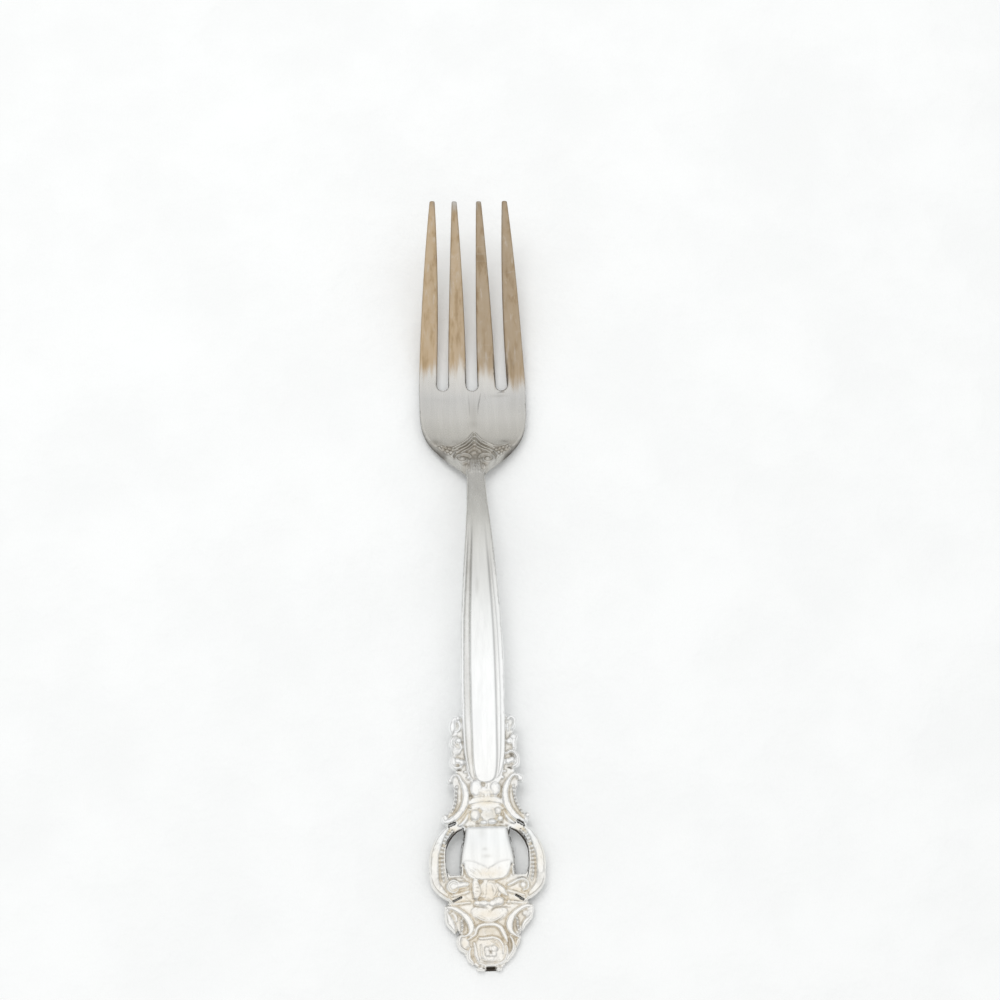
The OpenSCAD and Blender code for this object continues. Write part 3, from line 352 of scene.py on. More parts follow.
def addShoulders():
    onLeft(balls, [(8.2, -52.35, 0.7, 0.62, 0.9), (9.45, -60.5, 0.6, 0.5, 0.9)], edge=True)
    balls([(8.1, -52, 0.86, 0.86, 0.95), (9.5, -60.55, 0.68, 0.66, 0.95), (9.15, -61.7, 0.42, 0.36, 0.7)], edge=True)
    onLeft(ridge, [
        (8.2, -52.3, 0.5, 0.8), (7.7, -51.55, 0.34, 0.85), (6.95, -51.05, 0.3, 0.9), (6.25, -51.25, 0.36, 0.95),
        (5.65, -52.3, 0.46, 1), (5, -53.6, 0.72, 1), (4.65, -55.1, 0.86, 1), (4.65, -56.6, 0.92, 1),
        (5.05, -58.1, 0.92, 1), (5.9, -59.5, 0.9, 1), (7.1, -60.7, 0.84, 1), (8.4, -61.5, 0.7, 1),
        (9.5, -61.8, 0.52, 1), (10, -61.3, 0.42, 1), (9.95, -60.6, 0.4, 0.9)], height=0.98, kind="band")
    onLeft(ridge, [(6.45, -53.4, 0.3, 0.7), (6.75, -54.8, 0.38, 0.8), (6.85, -56.2, 0.42, 1), (7.05, -57.5, 0.42, 1),
                   (7.5, -58.8, 0.38, 0.9), (8.1, -59.8, 0.3, 0.7)], height=0.7, kind="ribbed", pitch=0.9, grime=0.62)
    ridge([
        (8.35, -52.2, 0.6, 0.9), (7.6, -51.4, 0.5, 1), (6.6, -51.2, 0.46, 1), (5.8, -51.85, 0.46, 1),
        (5.1, -53, 0.66, 1), (4.6, -54.4, 0.82, 1), (4.45, -56, 0.9, 1), (4.7, -57.6, 0.94, 1),
        (5.4, -59.1, 0.92, 1), (6.45, -60.4, 0.86, 1), (7.6, -61.3, 0.64, 1), (8.5, -61.85, 0.44, 0.9)],
        height=0.98, kind="band")
    ridge([(6.4, -53.4, 0.26, 0.7), (6.45, -54.8, 0.34, 0.9), (6.65, -56.3, 0.36, 1), (7.05, -57.7, 0.36, 1),
           (7.7, -59, 0.34, 0.9), (8.4, -60.1, 0.28, 0.8)], height=0.7, kind="ribbed", pitch=0.9, grime=0.62)
    onBoth(groove, [(5.85, -53.2, 0.12, 0.5), (5.55, -55.2, 0.15, 0.8), (5.75, -57.4, 0.15, 1),
                    (6.6, -59.2, 0.15, 1), (7.8, -60.5, 0.14, 0.8), (8.7, -61.1, 0.12, 0.5)], depth=0.2, soot=0.22)


def addCollar():
    # two broad petals and a middle one, a flat arched band, and an open flower
    onLeft(balls, [(2.2, -54.2, 1.6, 2.1, 0.88), (2.55, -60.3, 1.3, 1.5, 0.88, 0.1), (0.6, -61.95, 0.95, 0.62, 0.62),
                   (0.4, -58.95, 1.1, 0.62, 0.55)])
    balls([(2.15, -54.2, 1.45, 1.9, 0.9), (0.05, -55, 1.8, 1.4, 0.74), (2.75, -59.4, 0.95, 1.05, 0.82),
           (3.15, -61.1, 0.8, 0.78, 0.8), (1.35, -61.85, 1.2, 0.8, 0.88), (0.6, -60.2, 1.9, 1.7, 0.5),
           (0.7, -60, 1.2, 1.1, 0.66, 0.3)])
    for x, lean in ((2.9, 0.25), (1.7, 0.1), (0.5, 0)):
        onBoth(groove, [(x, -55.3, 0.12, 0.4), (x + lean, -56, 0.14, 1)], depth=0.16, soot=0.1)
    for y, half, height in ((-56.7, 0.85, 0.66), (-58.1, 0.7, 0.46)):
        arch = [(3.7, y - 0.75, half * 0.6, 0.8), (2.6, y - 0.25, half, 1), (1.3, y - 0.03, half, 1), (0, y, half, 1)]
        ridge(arch + mirrored(arch[-2::-1]), height=height, kind="band", edge=False)
    ridge([(4.15, -59.7, 0.3, 0.6), (4.6, -60.6, 0.6, 1), (5.5, -61.6, 0.55, 0.95), (6.4, -62.2, 0.3, 0.7)],
          height=0.66, edge=False)
    onLeft(ridge, [(4.2, -60, 0.3, 0.6), (4.65, -61.1, 0.52, 0.9), (5.5, -62.1, 0.5, 0.95), (6.3, -62.6, 0.3, 0.7)],
           height=0.62, edge=False)
    for x, y, size in ((-2, -62.15, 0.3), (3.5, -62, 0.28), (-3.7, -58.7, 0.26), (-3.45, -55.8, 0.22),
                       (3.5, -56.2, 0.16), (4.75, -62.7, 0.3), (-4.9, -62.75, 0.26)):
        groove([(x - 0.25, y, size, 0.8), (x + 0.2, y - 0.1, size, 1)], depth=0.22, soot=0.5)
    onBoth(groove, [(3.9, -52.9, 0.12, 0.8), (3.75, -54.4, 0.13, 1), (3.8, -56, 0.13, 1), (4, -57.4, 0.12, 0.6)],
           depth=0.2, soot=0.25)
    groove([(0.25, -53.2, 0.16, 0.5), (0.3, -54, 0.2, 1), (0.3, -54.5, 0.14, 0.4)], depth=0.2, soot=0.18)
    groove([(4, -59.9, 0.14, 0.7), (4.15, -60.9, 0.15, 1), (4.75, -61.8, 0.15, 0.9)], depth=0.2, soot=0.3)
    groove([(5.35, -60.9, 0.13, 0.5), (6, -61.5, 0.14, 1), (6.7, -62.1, 0.12, 0.6)], depth=0.18, soot=0.3)


# cartouche with a curved foot, and the calyx under it; the dome is (half width, half length, middle)
cartoucheShape = {
    "rows": (-75.4, -62.4),
    "halfWidths": [(-72.6, 5.2), (-71.9, 5.9), (-71.2, 6.22), (-70.2, 6.25), (-68.6, 6), (-67, 5.6), (-65.4, 5.22),
                   (-64, 4.98), (-63.2, 4.75), (-62.7, 4.2)],
    "foot": [(0, -73.15), (0.8, -72.75), (1.8, -72.1), (3, -71.6), (4.2, -71.35), (5.2, -71.3), (6.3, -71.6)],
    "top": -62.75, "rise": 1.05, "shoulder": 1.3, "crown": 0.16, "dome": (6.2, 5.4, -67.8), "softening": 0.16,
    "calyxHalfWidths": [(-75.2, 1), (-75, 2.6), (-74.6, 4), (-74, 4.75), (-73, 5.15), (-72, 5.45), (-71, 5.6)],
    "footSlope": 0.85, "lip": 0.15,
    "calyxFloor": -75.15, "calyxRise": 0.72, "calyxOverlap": 0.9, "calyxShoulder": 0.7, "calyxLip": 0.1,
}


def pillow(inside, width):
    # a quarter round, from 0 at the edge to 1 at a width inside it
    t = np.clip(1 - inside / width, 0, 1)
    return np.sqrt(np.clip(1 - t ** 2, 0, 1))


def addCartouche():
    shape = cartoucheShape
    rows = (gridY > shape["rows"][0]) & (gridY < shape["rows"][1])
    x, y = acrossX[rows], planY[rows]
    foot = easedTable(shape["foot"], x.ravel()).reshape(x.shape)
    inside = np.minimum(insideHalf(shape["halfWidths"], gridY[rows], x, steepest=3),
                        np.minimum(shape["top"] - y, (y - foot) * shape["footSlope"]))
    inside = soften(np.clip(inside, -1.5, 3), shape["softening"])
    domeX, domeY, middleY = shape["dome"]
    crown = shape["crown"] * np.clip(1 - (x / domeX) ** 2, 0, 1) * np.clip(1 - ((y - middleY) / domeY) ** 2, 0, 1)
    rise = np.where(inside > 0, shape["rise"] * (pillow(inside, shape["shoulder"]) * (1 - shape["crown"]) + crown), -1)
    below = np.minimum(insideHalf(shape["calyxHalfWidths"], gridY[rows], x, steepest=3),
                       np.minimum(y - shape["calyxFloor"], foot + shape["calyxOverlap"] - y))
    calyx = np.where(below > 0, shape["calyxRise"] * pillow(below, shape["calyxShoulder"]), -1)
    relief[rows] = np.maximum.reduce([relief[rows], rise, calyx])
    footprint[rows] = np.maximum.reduce([footprint[rows], inside + shape["lip"], below + shape["calyxLip"]])
    # the calyx's leaves, and the narrow posts between it and the windows
    for rows, strength in (([(5, -72.2, 0.1, 0.5), (3.6, -72.9, 0.14, 1), (2.4, -73.9, 0.12, 0.6)], 0.16),
                           ([(3.4, -72.1, 0.1, 0.5), (2.2, -72.9, 0.14, 1), (1.2, -74, 0.12, 0.6)], 0.18),
                           ([(4.4, -73.6, 0.1, 0.5), (3.4, -74.2, 0.12, 1), (2.6, -74.8, 0.1, 0.5)], 0.12)):
        onLeft(groove, rows, depth=0.2, soot=strength)
    groove([(4.6, -72, 0.1, 0.4), (2.8, -72.35, 0.12, 0.8), (1.3, -73.2, 0.12, 0.6)], depth=0.1, soot=0.08)
    onBoth(ridge, [(5.8, -72, 0.22, 0.6), (5.78, -72.9, 0.28, 0.9), (5.85, -73.7, 0.34, 1)], height=0.62, edge=False)
    onBoth(groove, [(5.5, -71.9, 0.1, 0.8), (5.3, -72.9, 0.12, 1), (4.95, -74.1, 0.12, 1), (4.2, -75, 0.1, 0.6)],
           depth=0.2, soot=0.3)


def addArms():
    crescent = [
        (8.9, -63.3, 0.45, 0.6), (9.75, -64.2, 0.7, 0.85), (10.65, -65.6, 0.9, 0.95), (11.3, -67.1, 1.04, 1),
        (11.8, -68.7, 1.12, 1), (12.05, -70.3, 1.16, 1), (12.12, -71.9, 1.14, 0.98), (12.08, -73.3, 1.08, 0.86),
        (12, -74.6, 0.98, 0.62), (11.6, -76, 0.9, 0.48), (10.7, -77.2, 0.84, 0.42), (9.6, -78.2, 0.66, 0.4),
    ]
    rim = [(13, -72.8, 0.14, 0.6), (12.95, -74.3, 0.24, 0.95), (12.65, -75.6, 0.27, 1), (12, -76.8, 0.29, 1),
           (11, -77.8, 0.32, 1), (9.9, -78.6, 0.34, 1), (8.9, -79.2, 0.3, 0.9), (8.1, -79.75, 0.24, 0.8)]
    knurls = [(7.6, -63.6, 0.3, 0.7), (8.55, -64.6, 0.42, 1), (9.35, -65.7, 0.46, 1), (9.9, -66.9, 0.44, 1)]
    ladder = [(10, -67.2, 0.4, 0.9), (10.3, -68.7, 0.46, 1), (10.4, -70.4, 0.48, 1), (10.4, -72.2, 0.48, 1),
              (10.25, -73.9, 0.44, 1), (9.95, -75.3, 0.34, 0.8)]
    inner = [(9, -66.5, 0.14, 0.6), (9.55, -68, 0.2, 1), (9.72, -69.8, 0.22, 1), (9.7, -71.8, 0.22, 1),
             (9.5, -73.4, 0.22, 1), (9.2, -74.6, 0.2, 0.8)]
    # the black line along each window's upper outer edge is painted shade
    sootLine = [(5.8, -63.45, 0.2, 0.8), (6.9, -64, 0.26, 1), (7.95, -65.05, 0.28, 1), (8.8, -66.25, 0.25, 1),
                (9.35, -67.7, 0.18, 0.8), (9.55, -69.2, 0.12, 0.5)]
    onBoth(ridge, crescent, height=1, kind="band")
    onBoth(ridge, rim, height=0.95, lip=0.1)
    onBoth(ridge, knurls, height=0.66, kind="ribbed", pitch=0.8, edge=False, grime=0.5)
    onBoth(ridge, ladder, height=0.8, kind="ribbed", pitch=0.95, edge=False, grime=0.55)
    onBoth(ridge, inner, height=0.68, lip=0.08)
    onBoth(groove, sootLine, depth=0.25, soot=1)


def addVolutes():
    # left: a snail with a thick bar; right: an open ring with a small eye
    onLeft(balls, [(7.9, -76.3, 1.05, 1, 0.8)])
    balls([(8.02, -76.25, 0.78, 0.8, 0.6)])
    onLeft(ridge, [(4.7, -75.8, 0.6, 0.8), (5.7, -75.9, 0.85, 1), (6.8, -76.1, 0.8, 1)], height=0.88, edge=False)
    onLeft(ridge, [(6.75, -75.45, 0.34, 0.9), (7.8, -74.95, 0.42, 1), (8.9, -75.4, 0.44, 1), (9.3, -76.4, 0.42, 1),
                   (8.7, -77.35, 0.4, 1), (7.6, -77.6, 0.36, 0.95), (6.8, -77.1, 0.3, 0.9)], height=0.95)
    onLeft(groove, [(7.1, -75.8, 0.14, 0.8), (6.95, -76.5, 0.14, 1), (7.5, -77.1, 0.13, 1), (8.4, -76.95, 0.12, 0.9),
                    (8.8, -76.2, 0.12, 0.8), (8.3, -75.55, 0.12, 0.6)], depth=0.14, soot=0.16)
    # the dark arc over the snail's top is painted shadow
    onLeft(groove, [(9.2, -76.9, 0.14, 0.6), (9.35, -75.9, 0.18, 1), (8.9, -74.9, 0.2, 1), (7.9, -74.35, 0.2, 1),
                    (6.6, -74.25, 0.2, 1), (5.5, -74.6, 0.18, 1), (4.75, -75.3, 0.14, 0.7)], depth=0.22, soot=0.32)
    ridge([(4.5, -76.2, 0.44, 0.8), (5.4, -75.85, 0.52, 1), (6.3, -75.4, 0.48, 1), (7.2, -74.98, 0.4, 1),
           (8.2, -74.95, 0.38, 1), (9, -75.5, 0.36, 1), (9.2, -76.4, 0.34, 1), (8.75, -77.2, 0.32, 0.95),
           (7.9, -77.45, 0.3, 0.9)], height=0.9, edge=False)
    groove([(7.15, -76.8, 0.13, 0.6), (7.05, -76, 0.16, 1), (7.6, -75.4, 0.16, 1), (8.4, -75.4, 0.16, 1),
            (8.8, -76.1, 0.16, 1), (8.5, -76.85, 0.14, 0.7)], depth=0.2, soot=0.26)
    onBoth(ridge, [(4.4, -77.4, 0.4, 0.7), (5.5, -77.75, 0.5, 0.9), (6.8, -78.1, 0.44, 0.8), (8.4, -78.5, 0.24, 0.6)],
           height=0.5, edge=False)
    onBoth(ridge, [(4.2, -79.9, 0.36, 0.8), (5.7, -80, 0.42, 1), (7.2, -80.15, 0.34, 0.9), (8.8, -80.1, 0.22, 0.6)],
           height=0.5)


def addBlossom():
    # fluted leaf on the left, crossing petals on the right, and two wide petals at the bottom
    onLeft(balls, [(1.1, -78.6, 0.75, 0.45, 0.5), (1, -80.1, 1.3, 0.8, 0.78), (2.55, -80.05, 1.05, 0.7, 0.82)])
    balls([(0.2, -77.2, 2.6, 2.3, 0.42), (2.45, -78.2, 0.6, 0.5, 0.55), (2.3, -79.7, 1.5, 1.2, 0.97),
           (0.9, -80.2, 1.05, 0.9, 0.88), (4.6, -79.9, 0.55, 0.6, 0.62)])
    onLeft(ridge, [(2.9, -75.4, 0.8, 0.8), (2.7, -76.6, 1.15, 1), (2.6, -77.8, 1.2, 1), (2.8, -78.8, 0.7, 0.7)],
           height=0.82, kind="band", edge=False)
    for y in (-76.65, -77.55):
        onLeft(groove, [(3.1, y + 0.05, 0.14, 0.5), (2.4, y, 0.18, 1), (1.9, y - 0.1, 0.12, 0.5)],
               depth=0.2, soot=0.38)
    onLeft(ridge, [(0.5, -75.3, 0.6, 0.7), (0.95, -76.4, 0.9, 1), (0.8, -77.8, 0.7, 0.9)], height=0.66, edge=False)
    ridge([(0.6, -75.7, 0.4, 0.7), (1.2, -76.4, 0.6, 0.9), (1.5, -77.4, 0.66, 1), (1.2, -78.4, 0.4, 0.7)],
          height=0.7, edge=False)
    ridge([(2, -76, 0.5, 0.7), (2.7, -76.8, 0.85, 1), (3.4, -77.6, 0.85, 1), (4.1, -78.3, 0.45, 0.7)],
          height=0.86, kind="band", edge=False)
    groove([(-3.7, -79, 0.2, 0.6), (-3.1, -79.15, 0.28, 1), (-2.2, -79.3, 0.2, 0.4)], depth=0.25, soot=0.55)
    groove([(-3.5, -80.7, 0.13, 0.7), (-2.2, -80.95, 0.16, 1), (-1, -81.1, 0.15, 1), (-0.1, -81.3, 0.12, 0.4)],
           depth=0.3, soot=0.5)
    groove([(0.35, -82, 0.12, 0.4), (0.85, -81.55, 0.18, 1), (1.7, -81.15, 0.17, 1), (3.6, -81.05, 0.16, 1),
            (5, -81.2, 0.12, 0.6)], depth=0.3, soot=0.5)
    onBoth(groove, [(4.35, -75.6, 0.12, 0.6), (4.25, -77, 0.13, 1), (4.5, -78.4, 0.12, 0.6)], depth=0.18, soot=0.24)
    onBoth(groove, [(5.3, -78.55, 0.12, 0.5), (4.6, -79, 0.13, 1), (3.9, -79.3, 0.12, 0.6)], depth=0.15, soot=0.24)


def addEnd():
    # smooth swag, broad C-scrolls with an outer leaf and ribs, and the hood over the rose
    onLeft(balls, [(5.6, -88.9, 1.2, 1.4, 0.42)])
    balls([(0.1, -82.2, 4.3, 2.3, 0.5), (8.4, -82.5, 0.9, 0.75, 0.4)])
    ridge([(-3, -82.9, 0.2, 0.7), (-2.2, -83.55, 0.26, 1), (-1.1, -84, 0.28, 1), (0.1, -84.1, 0.28, 1),
           (1.3, -83.95, 0.28, 1), (2.4, -83.45, 0.26, 1), (3.2, -82.8, 0.2, 0.7)], height=0.66, edge=False)
    groove([(-2.4, -83.95, 0.13, 0.5), (-1.2, -84.3, 0.15, 1), (0.2, -84.25, 0.14, 0.9), (1.6, -84.35, 0.14, 0.9),
            (2.9, -84.9, 0.13, 0.6)], depth=0.2, soot=0.22)
    onLeft(ridge, [
        (9.5, -80.95, 0.4, 0.8), (8.6, -81, 0.54, 1), (7.5, -81.35, 0.64, 1), (6.3, -82.05, 0.7, 1),
        (5.2, -83.1, 0.84, 1), (4.4, -84.25, 0.9, 1), (4.1, -85.4, 0.84, 1), (4.3, -86.5, 0.6, 1),
        (5.1, -87.2, 0.4, 0.9), (6, -87.35, 0.3, 0.8)], height=0.94, kind="band")
    ridge([
        (9.75, -81, 0.4, 0.8), (8.8, -80.9, 0.5, 1), (7.7, -81.2, 0.58, 1), (6.6, -81.85, 0.62, 1),
        (5.6, -82.75, 0.76, 1), (4.85, -83.9, 0.95, 1), (4.6, -85.2, 0.98, 1), (4.9, -86.4, 0.72, 1),
        (5.8, -87.3, 0.4, 0.95), (6.7, -87.8, 0.34, 0.9)], height=0.94, kind="band")
    onLeft(ridge, [(9.6, -81.9, 0.4, 0.8), (9.2, -82.9, 0.75, 1), (8.75, -84.1, 0.95, 1), (8.15, -85.3, 0.75, 1),
                   (7.75, -86.2, 0.36, 0.8)], height=0.88)
    onLeft(ridge, [(8.2, -82.2, 0.4, 0.6), (7.6, -82.9, 0.5, 0.8), (7.4, -83.8, 0.36, 0.6)], height=0.5, edge=False)
    ridge([(9.85, -81.4, 0.3, 0.8), (9.72, -82.3, 0.32, 1), (9.45, -83.1, 0.36, 1)], height=0.85)
    ridge([(9.4, -83.3, 0.46, 1), (8.6, -84, 0.64, 1), (7.85, -84.9, 0.56, 1), (7.45, -85.9, 0.36, 0.9)], height=0.9)
    onLeft(ridge, [(6.35, -83.4, 0.36, 0.8), (6.15, -84.4, 0.44, 1), (6.1, -85.5, 0.44, 1), (6.25, -86.4, 0.34, 0.8)],
           height=0.62, kind="ribbed", pitch=0.95, grime=0.4)
    ridge([(6.3, -83.2, 0.3, 0.8), (6.45, -84.3, 0.4, 1), (6.5, -85.4, 0.42, 1), (6.7, -86.6, 0.34, 0.9)],
          height=0.62, kind="ribbed", pitch=0.95, grime=0.4)
    onBoth(groove, [(5.9, -83, 0.14, 0.6), (5.55, -84.4, 0.15, 1), (5.5, -85.8, 0.15, 1), (5.9, -86.7, 0.13, 0.6)],
           depth=0.2, soot=0.25)
    # lobes that frame the rose
    onLeft(ridge, [(5.4, -87.35, 0.36, 0.8), (6.4, -87.3, 0.44, 0.95), (6.9, -88.2, 0.46, 1), (6.8, -89.3, 0.42, 1),
                   (6.2, -90.15, 0.4, 1), (5.3, -90.6, 0.34, 0.8)], height=0.85)
    onLeft(ridge, [(4.35, -90, 0.36, 0.8), (4.75, -91.1, 0.5, 1), (4.55, -92.3, 0.5, 1), (3.9, -93.2, 0.36, 0.8)],
           height=0.85)
    ridge([(4.6, -87.5, 0.3, 0.7), (5.15, -88.4, 0.42, 1), (5.4, -89.6, 0.46, 1), (5.1, -90.8, 0.44, 1),
           (4.4, -91.8, 0.4, 0.9), (3.9, -92.7, 0.3, 0.8)], height=0.85)
    ridge([(6.7, -87.7, 0.34, 0.8), (6.35, -88.7, 0.4, 0.8), (6.05, -89.6, 0.3, 0.6)], height=0.55)
    groove([(4.2, -88.2, 0.16, 0.6), (4.3, -89.1, 0.24, 1), (4.5, -90.1, 0.16, 0.6)], depth=0.2, soot=0.35)
    hood = [(-4.9, -88.1, 0.28, 0.7), (-4.1, -87.6, 0.38, 1), (-3.2, -86.9, 0.44, 0.9), (-2.9, -86, 0.5, 0.9),
            (-2.3, -85.2, 0.5, 0.9), (-1.1, -84.9, 0.5, 0.9), (0.3, -84.85, 0.5, 0.95), (1.5, -85, 0.55, 1),
            (2.5, -85.6, 0.62, 1), (3.1, -86.6, 0.66, 1), (3.6, -87.7, 0.58, 1), (4, -88.7, 0.34, 0.9)]
    ridge(hood, height=0.88, kind="band", edge=False)


def addRose():
    # outer, middle and inner petals, each a band with a rolled rim, and the bright heart
    onLeft(balls, [(2.2, -94.5, 0.8, 0.55, 0.85)], edge=True)
    balls([(1.9, -94.6, 0.7, 0.5, 0.75)], edge=True)
    onLeft(balls, [(0.65, -90.3, 0.9, 0.8, 0.95), (0.6, -91.4, 0.8, 0.65, 0.88)])
    balls([(0.1, -90.6, 4.2, 3.3, 0.45), (0.15, -90.7, 2.9, 2.5, 0.6), (0.2, -90.75, 1.9, 1.65, 0.8),
           (0.95, -90.2, 1.15, 1, 1), (0.9, -91.5, 0.8, 0.6, 0.86)])
    for rows, height in (
            ([(-3.5, -88.9, 0.4, 0.8), (-3.25, -90.2, 0.55, 1), (-3.1, -91.5, 0.6, 1),
              (-2.7, -92.7, 0.45, 0.8)], 0.72),
            ([(-2.3, -87.9, 0.4, 0.7), (-1, -87.9, 0.5, 0.8), (0.5, -87.75, 0.5, 0.95), (1.8, -88.1, 0.5, 1),
              (2.7, -89, 0.46, 1), (3.05, -90.1, 0.4, 1), (2.95, -91.2, 0.3, 0.8)], 0.82),
            ([(3.75, -89.6, 0.32, 0.8), (4, -90.6, 0.34, 0.9), (3.75, -91.7, 0.34, 1), (3.3, -92.7, 0.34, 1),
              (2.4, -93.35, 0.34, 1), (1.2, -93.75, 0.34, 1), (0, -93.85, 0.34, 1), (-1.3, -93.75, 0.34, 0.95),
              (-2.4, -93.3, 0.34, 0.9)], 0.85),
            ([(-2, -89.3, 0.22, 0.9), (-1.95, -90.4, 0.26, 1), (-1.95, -91.5, 0.26, 1),
              (-1.5, -92.3, 0.22, 0.8)], 0.85),
            ([(0.6, -92.4, 0.5, 0.7), (1.5, -92.1, 0.55, 0.8), (2.2, -91.3, 0.4, 0.7)], 0.6)):
        ridge(rows, height=height, edge=False)
    groove([(-0.05, -90.75, 0.2, 0.8), (0.15, -90.9, 0.28, 1), (0.2, -91.25, 0.2, 0.7)], depth=0.45, soot=0.55)
    groove([(-0.5, -92, 0.13, 0.6), (-0.1, -92.05, 0.16, 1), (0.3, -92, 0.12, 0.5)], depth=0.2, soot=0.3)
    groove([(-2.1, -92.5, 0.14, 0.5), (-1.3, -92.95, 0.2, 1), (0, -93.1, 0.22, 1), (1.2, -93.05, 0.18, 0.9),
            (2.2, -92.7, 0.12, 0.5)], depth=0.3, soot=0.42)
    groove([(0.2, -88.5, 0.14, 0.5), (1.3, -88.8, 0.18, 1), (2.1, -89.6, 0.16, 0.8)], depth=0.2, soot=0.25)
    groove([(-1.4, -85.6, 0.2, 0.6), (-0.3, -85.55, 0.24, 1), (0.7, -85.55, 0.18, 0.5)], depth=0.1, soot=0.2)
    # notch in the end, its inside painted black as shade
    for y, reach in ((-94.45, 0.72), (-94.95, 1)):
        groove([(0.15 - reach, y, 0.4, 1), (0.15, y, 0.46, 1), (0.15 + reach, y, 0.4, 1)], depth=1.1, soot=1)


# outline of the handle's plate: half widths of its core, the windows between their inner and outer sides, and slits
handleShape = {
    "core": [
        (-95.3, 2.3), (-94.6, 2.5), (-94, 3), (-93, 4.15), (-92, 5.1), (-91, 5.8), (-89, 6.4), (-88, 6.5),
        (-87.2, 6.2), (-86, 7.1), (-84, 8.4), (-82.5, 9.2), (-81.2, 9.2), (-80.4, 9), (-79.7, 8.7), (-78.6, 9.2),
        (-76, 11.1), (-72, 11.8), (-67, 10.8), (-64, 9.4), (-63.1, 9.3), (-62.3, 9.3), (-61.2, 9.1), (-60.2, 8.9),
        (-58.5, 7.7), (-57, 7), (-55, 7), (-53.5, 7.5), (-52.5, 7.7), (-51.8, 7.5), (-51.2, 7), (-50.1, 6.8),
        (-49.1, 6.9), (-47.7, 7.3), (-46.4, 6.9), (-45.6, 6.6), (-44.7, 6.9), (-43.7, 7.1), (-42.7, 7), (-41.7, 6.8),
        (-41, 6.8), (-39.3, 7.2), (-38.1, 6.4), (-37.4, 5.5), (-36.9, 5.05),
    ],
    "windowInner": [(-73.8, 6.35), (-71, 6.32), (-68.5, 6.08), (-66, 5.6), (-64.6, 5.3), (-63.4, 5.35)],
    "windowOuter": [(-73.8, 8.6), (-73, 9.05), (-71, 9.48), (-68.7, 9.45), (-66.7, 8.85), (-65, 7.75), (-64, 6.7),
                    (-63.3, 5.6)],
    "windowFloor": -73.75, "windowTop": -63.1,
    "slits": [[(6.3, -78.4), (7.9, -79.4)], [(-6.2, -78.7), (-8, -79.55)],
              [(7.15, -61.7), (8.5, -62.5)], [(-7.2, -62), (-8.5, -62.5)]],
    "slitRadius": 0.19, "softening": 0.1,
}


def handleField():
    shape = handleShape
    field = np.maximum(insideHalf(shape["core"], gridY, acrossX, steepest=3), footprint)
    field = soften(np.maximum(field, -1.5), shape["softening"])
    window = np.minimum(-insideHalf(shape["windowInner"], gridY, acrossX),
                        insideHalf(shape["windowOuter"], gridY, acrossX))
    window = np.minimum(window, np.minimum(planY - shape["windowFloor"], shape["windowTop"] - planY))
    field = np.minimum(field, -window)
    for (x0, y0), (x1, y1) in shape["slits"]:
        path = np.array([[x0, y0, 1, 1], [x1, y1, 1, 1]], float)
        near = windowAround(path, 2)
        field[near] = np.minimum(field[near], nearPath(path, near)[0] - shape["slitRadius"])
    return np.minimum(field, planY - handleY)


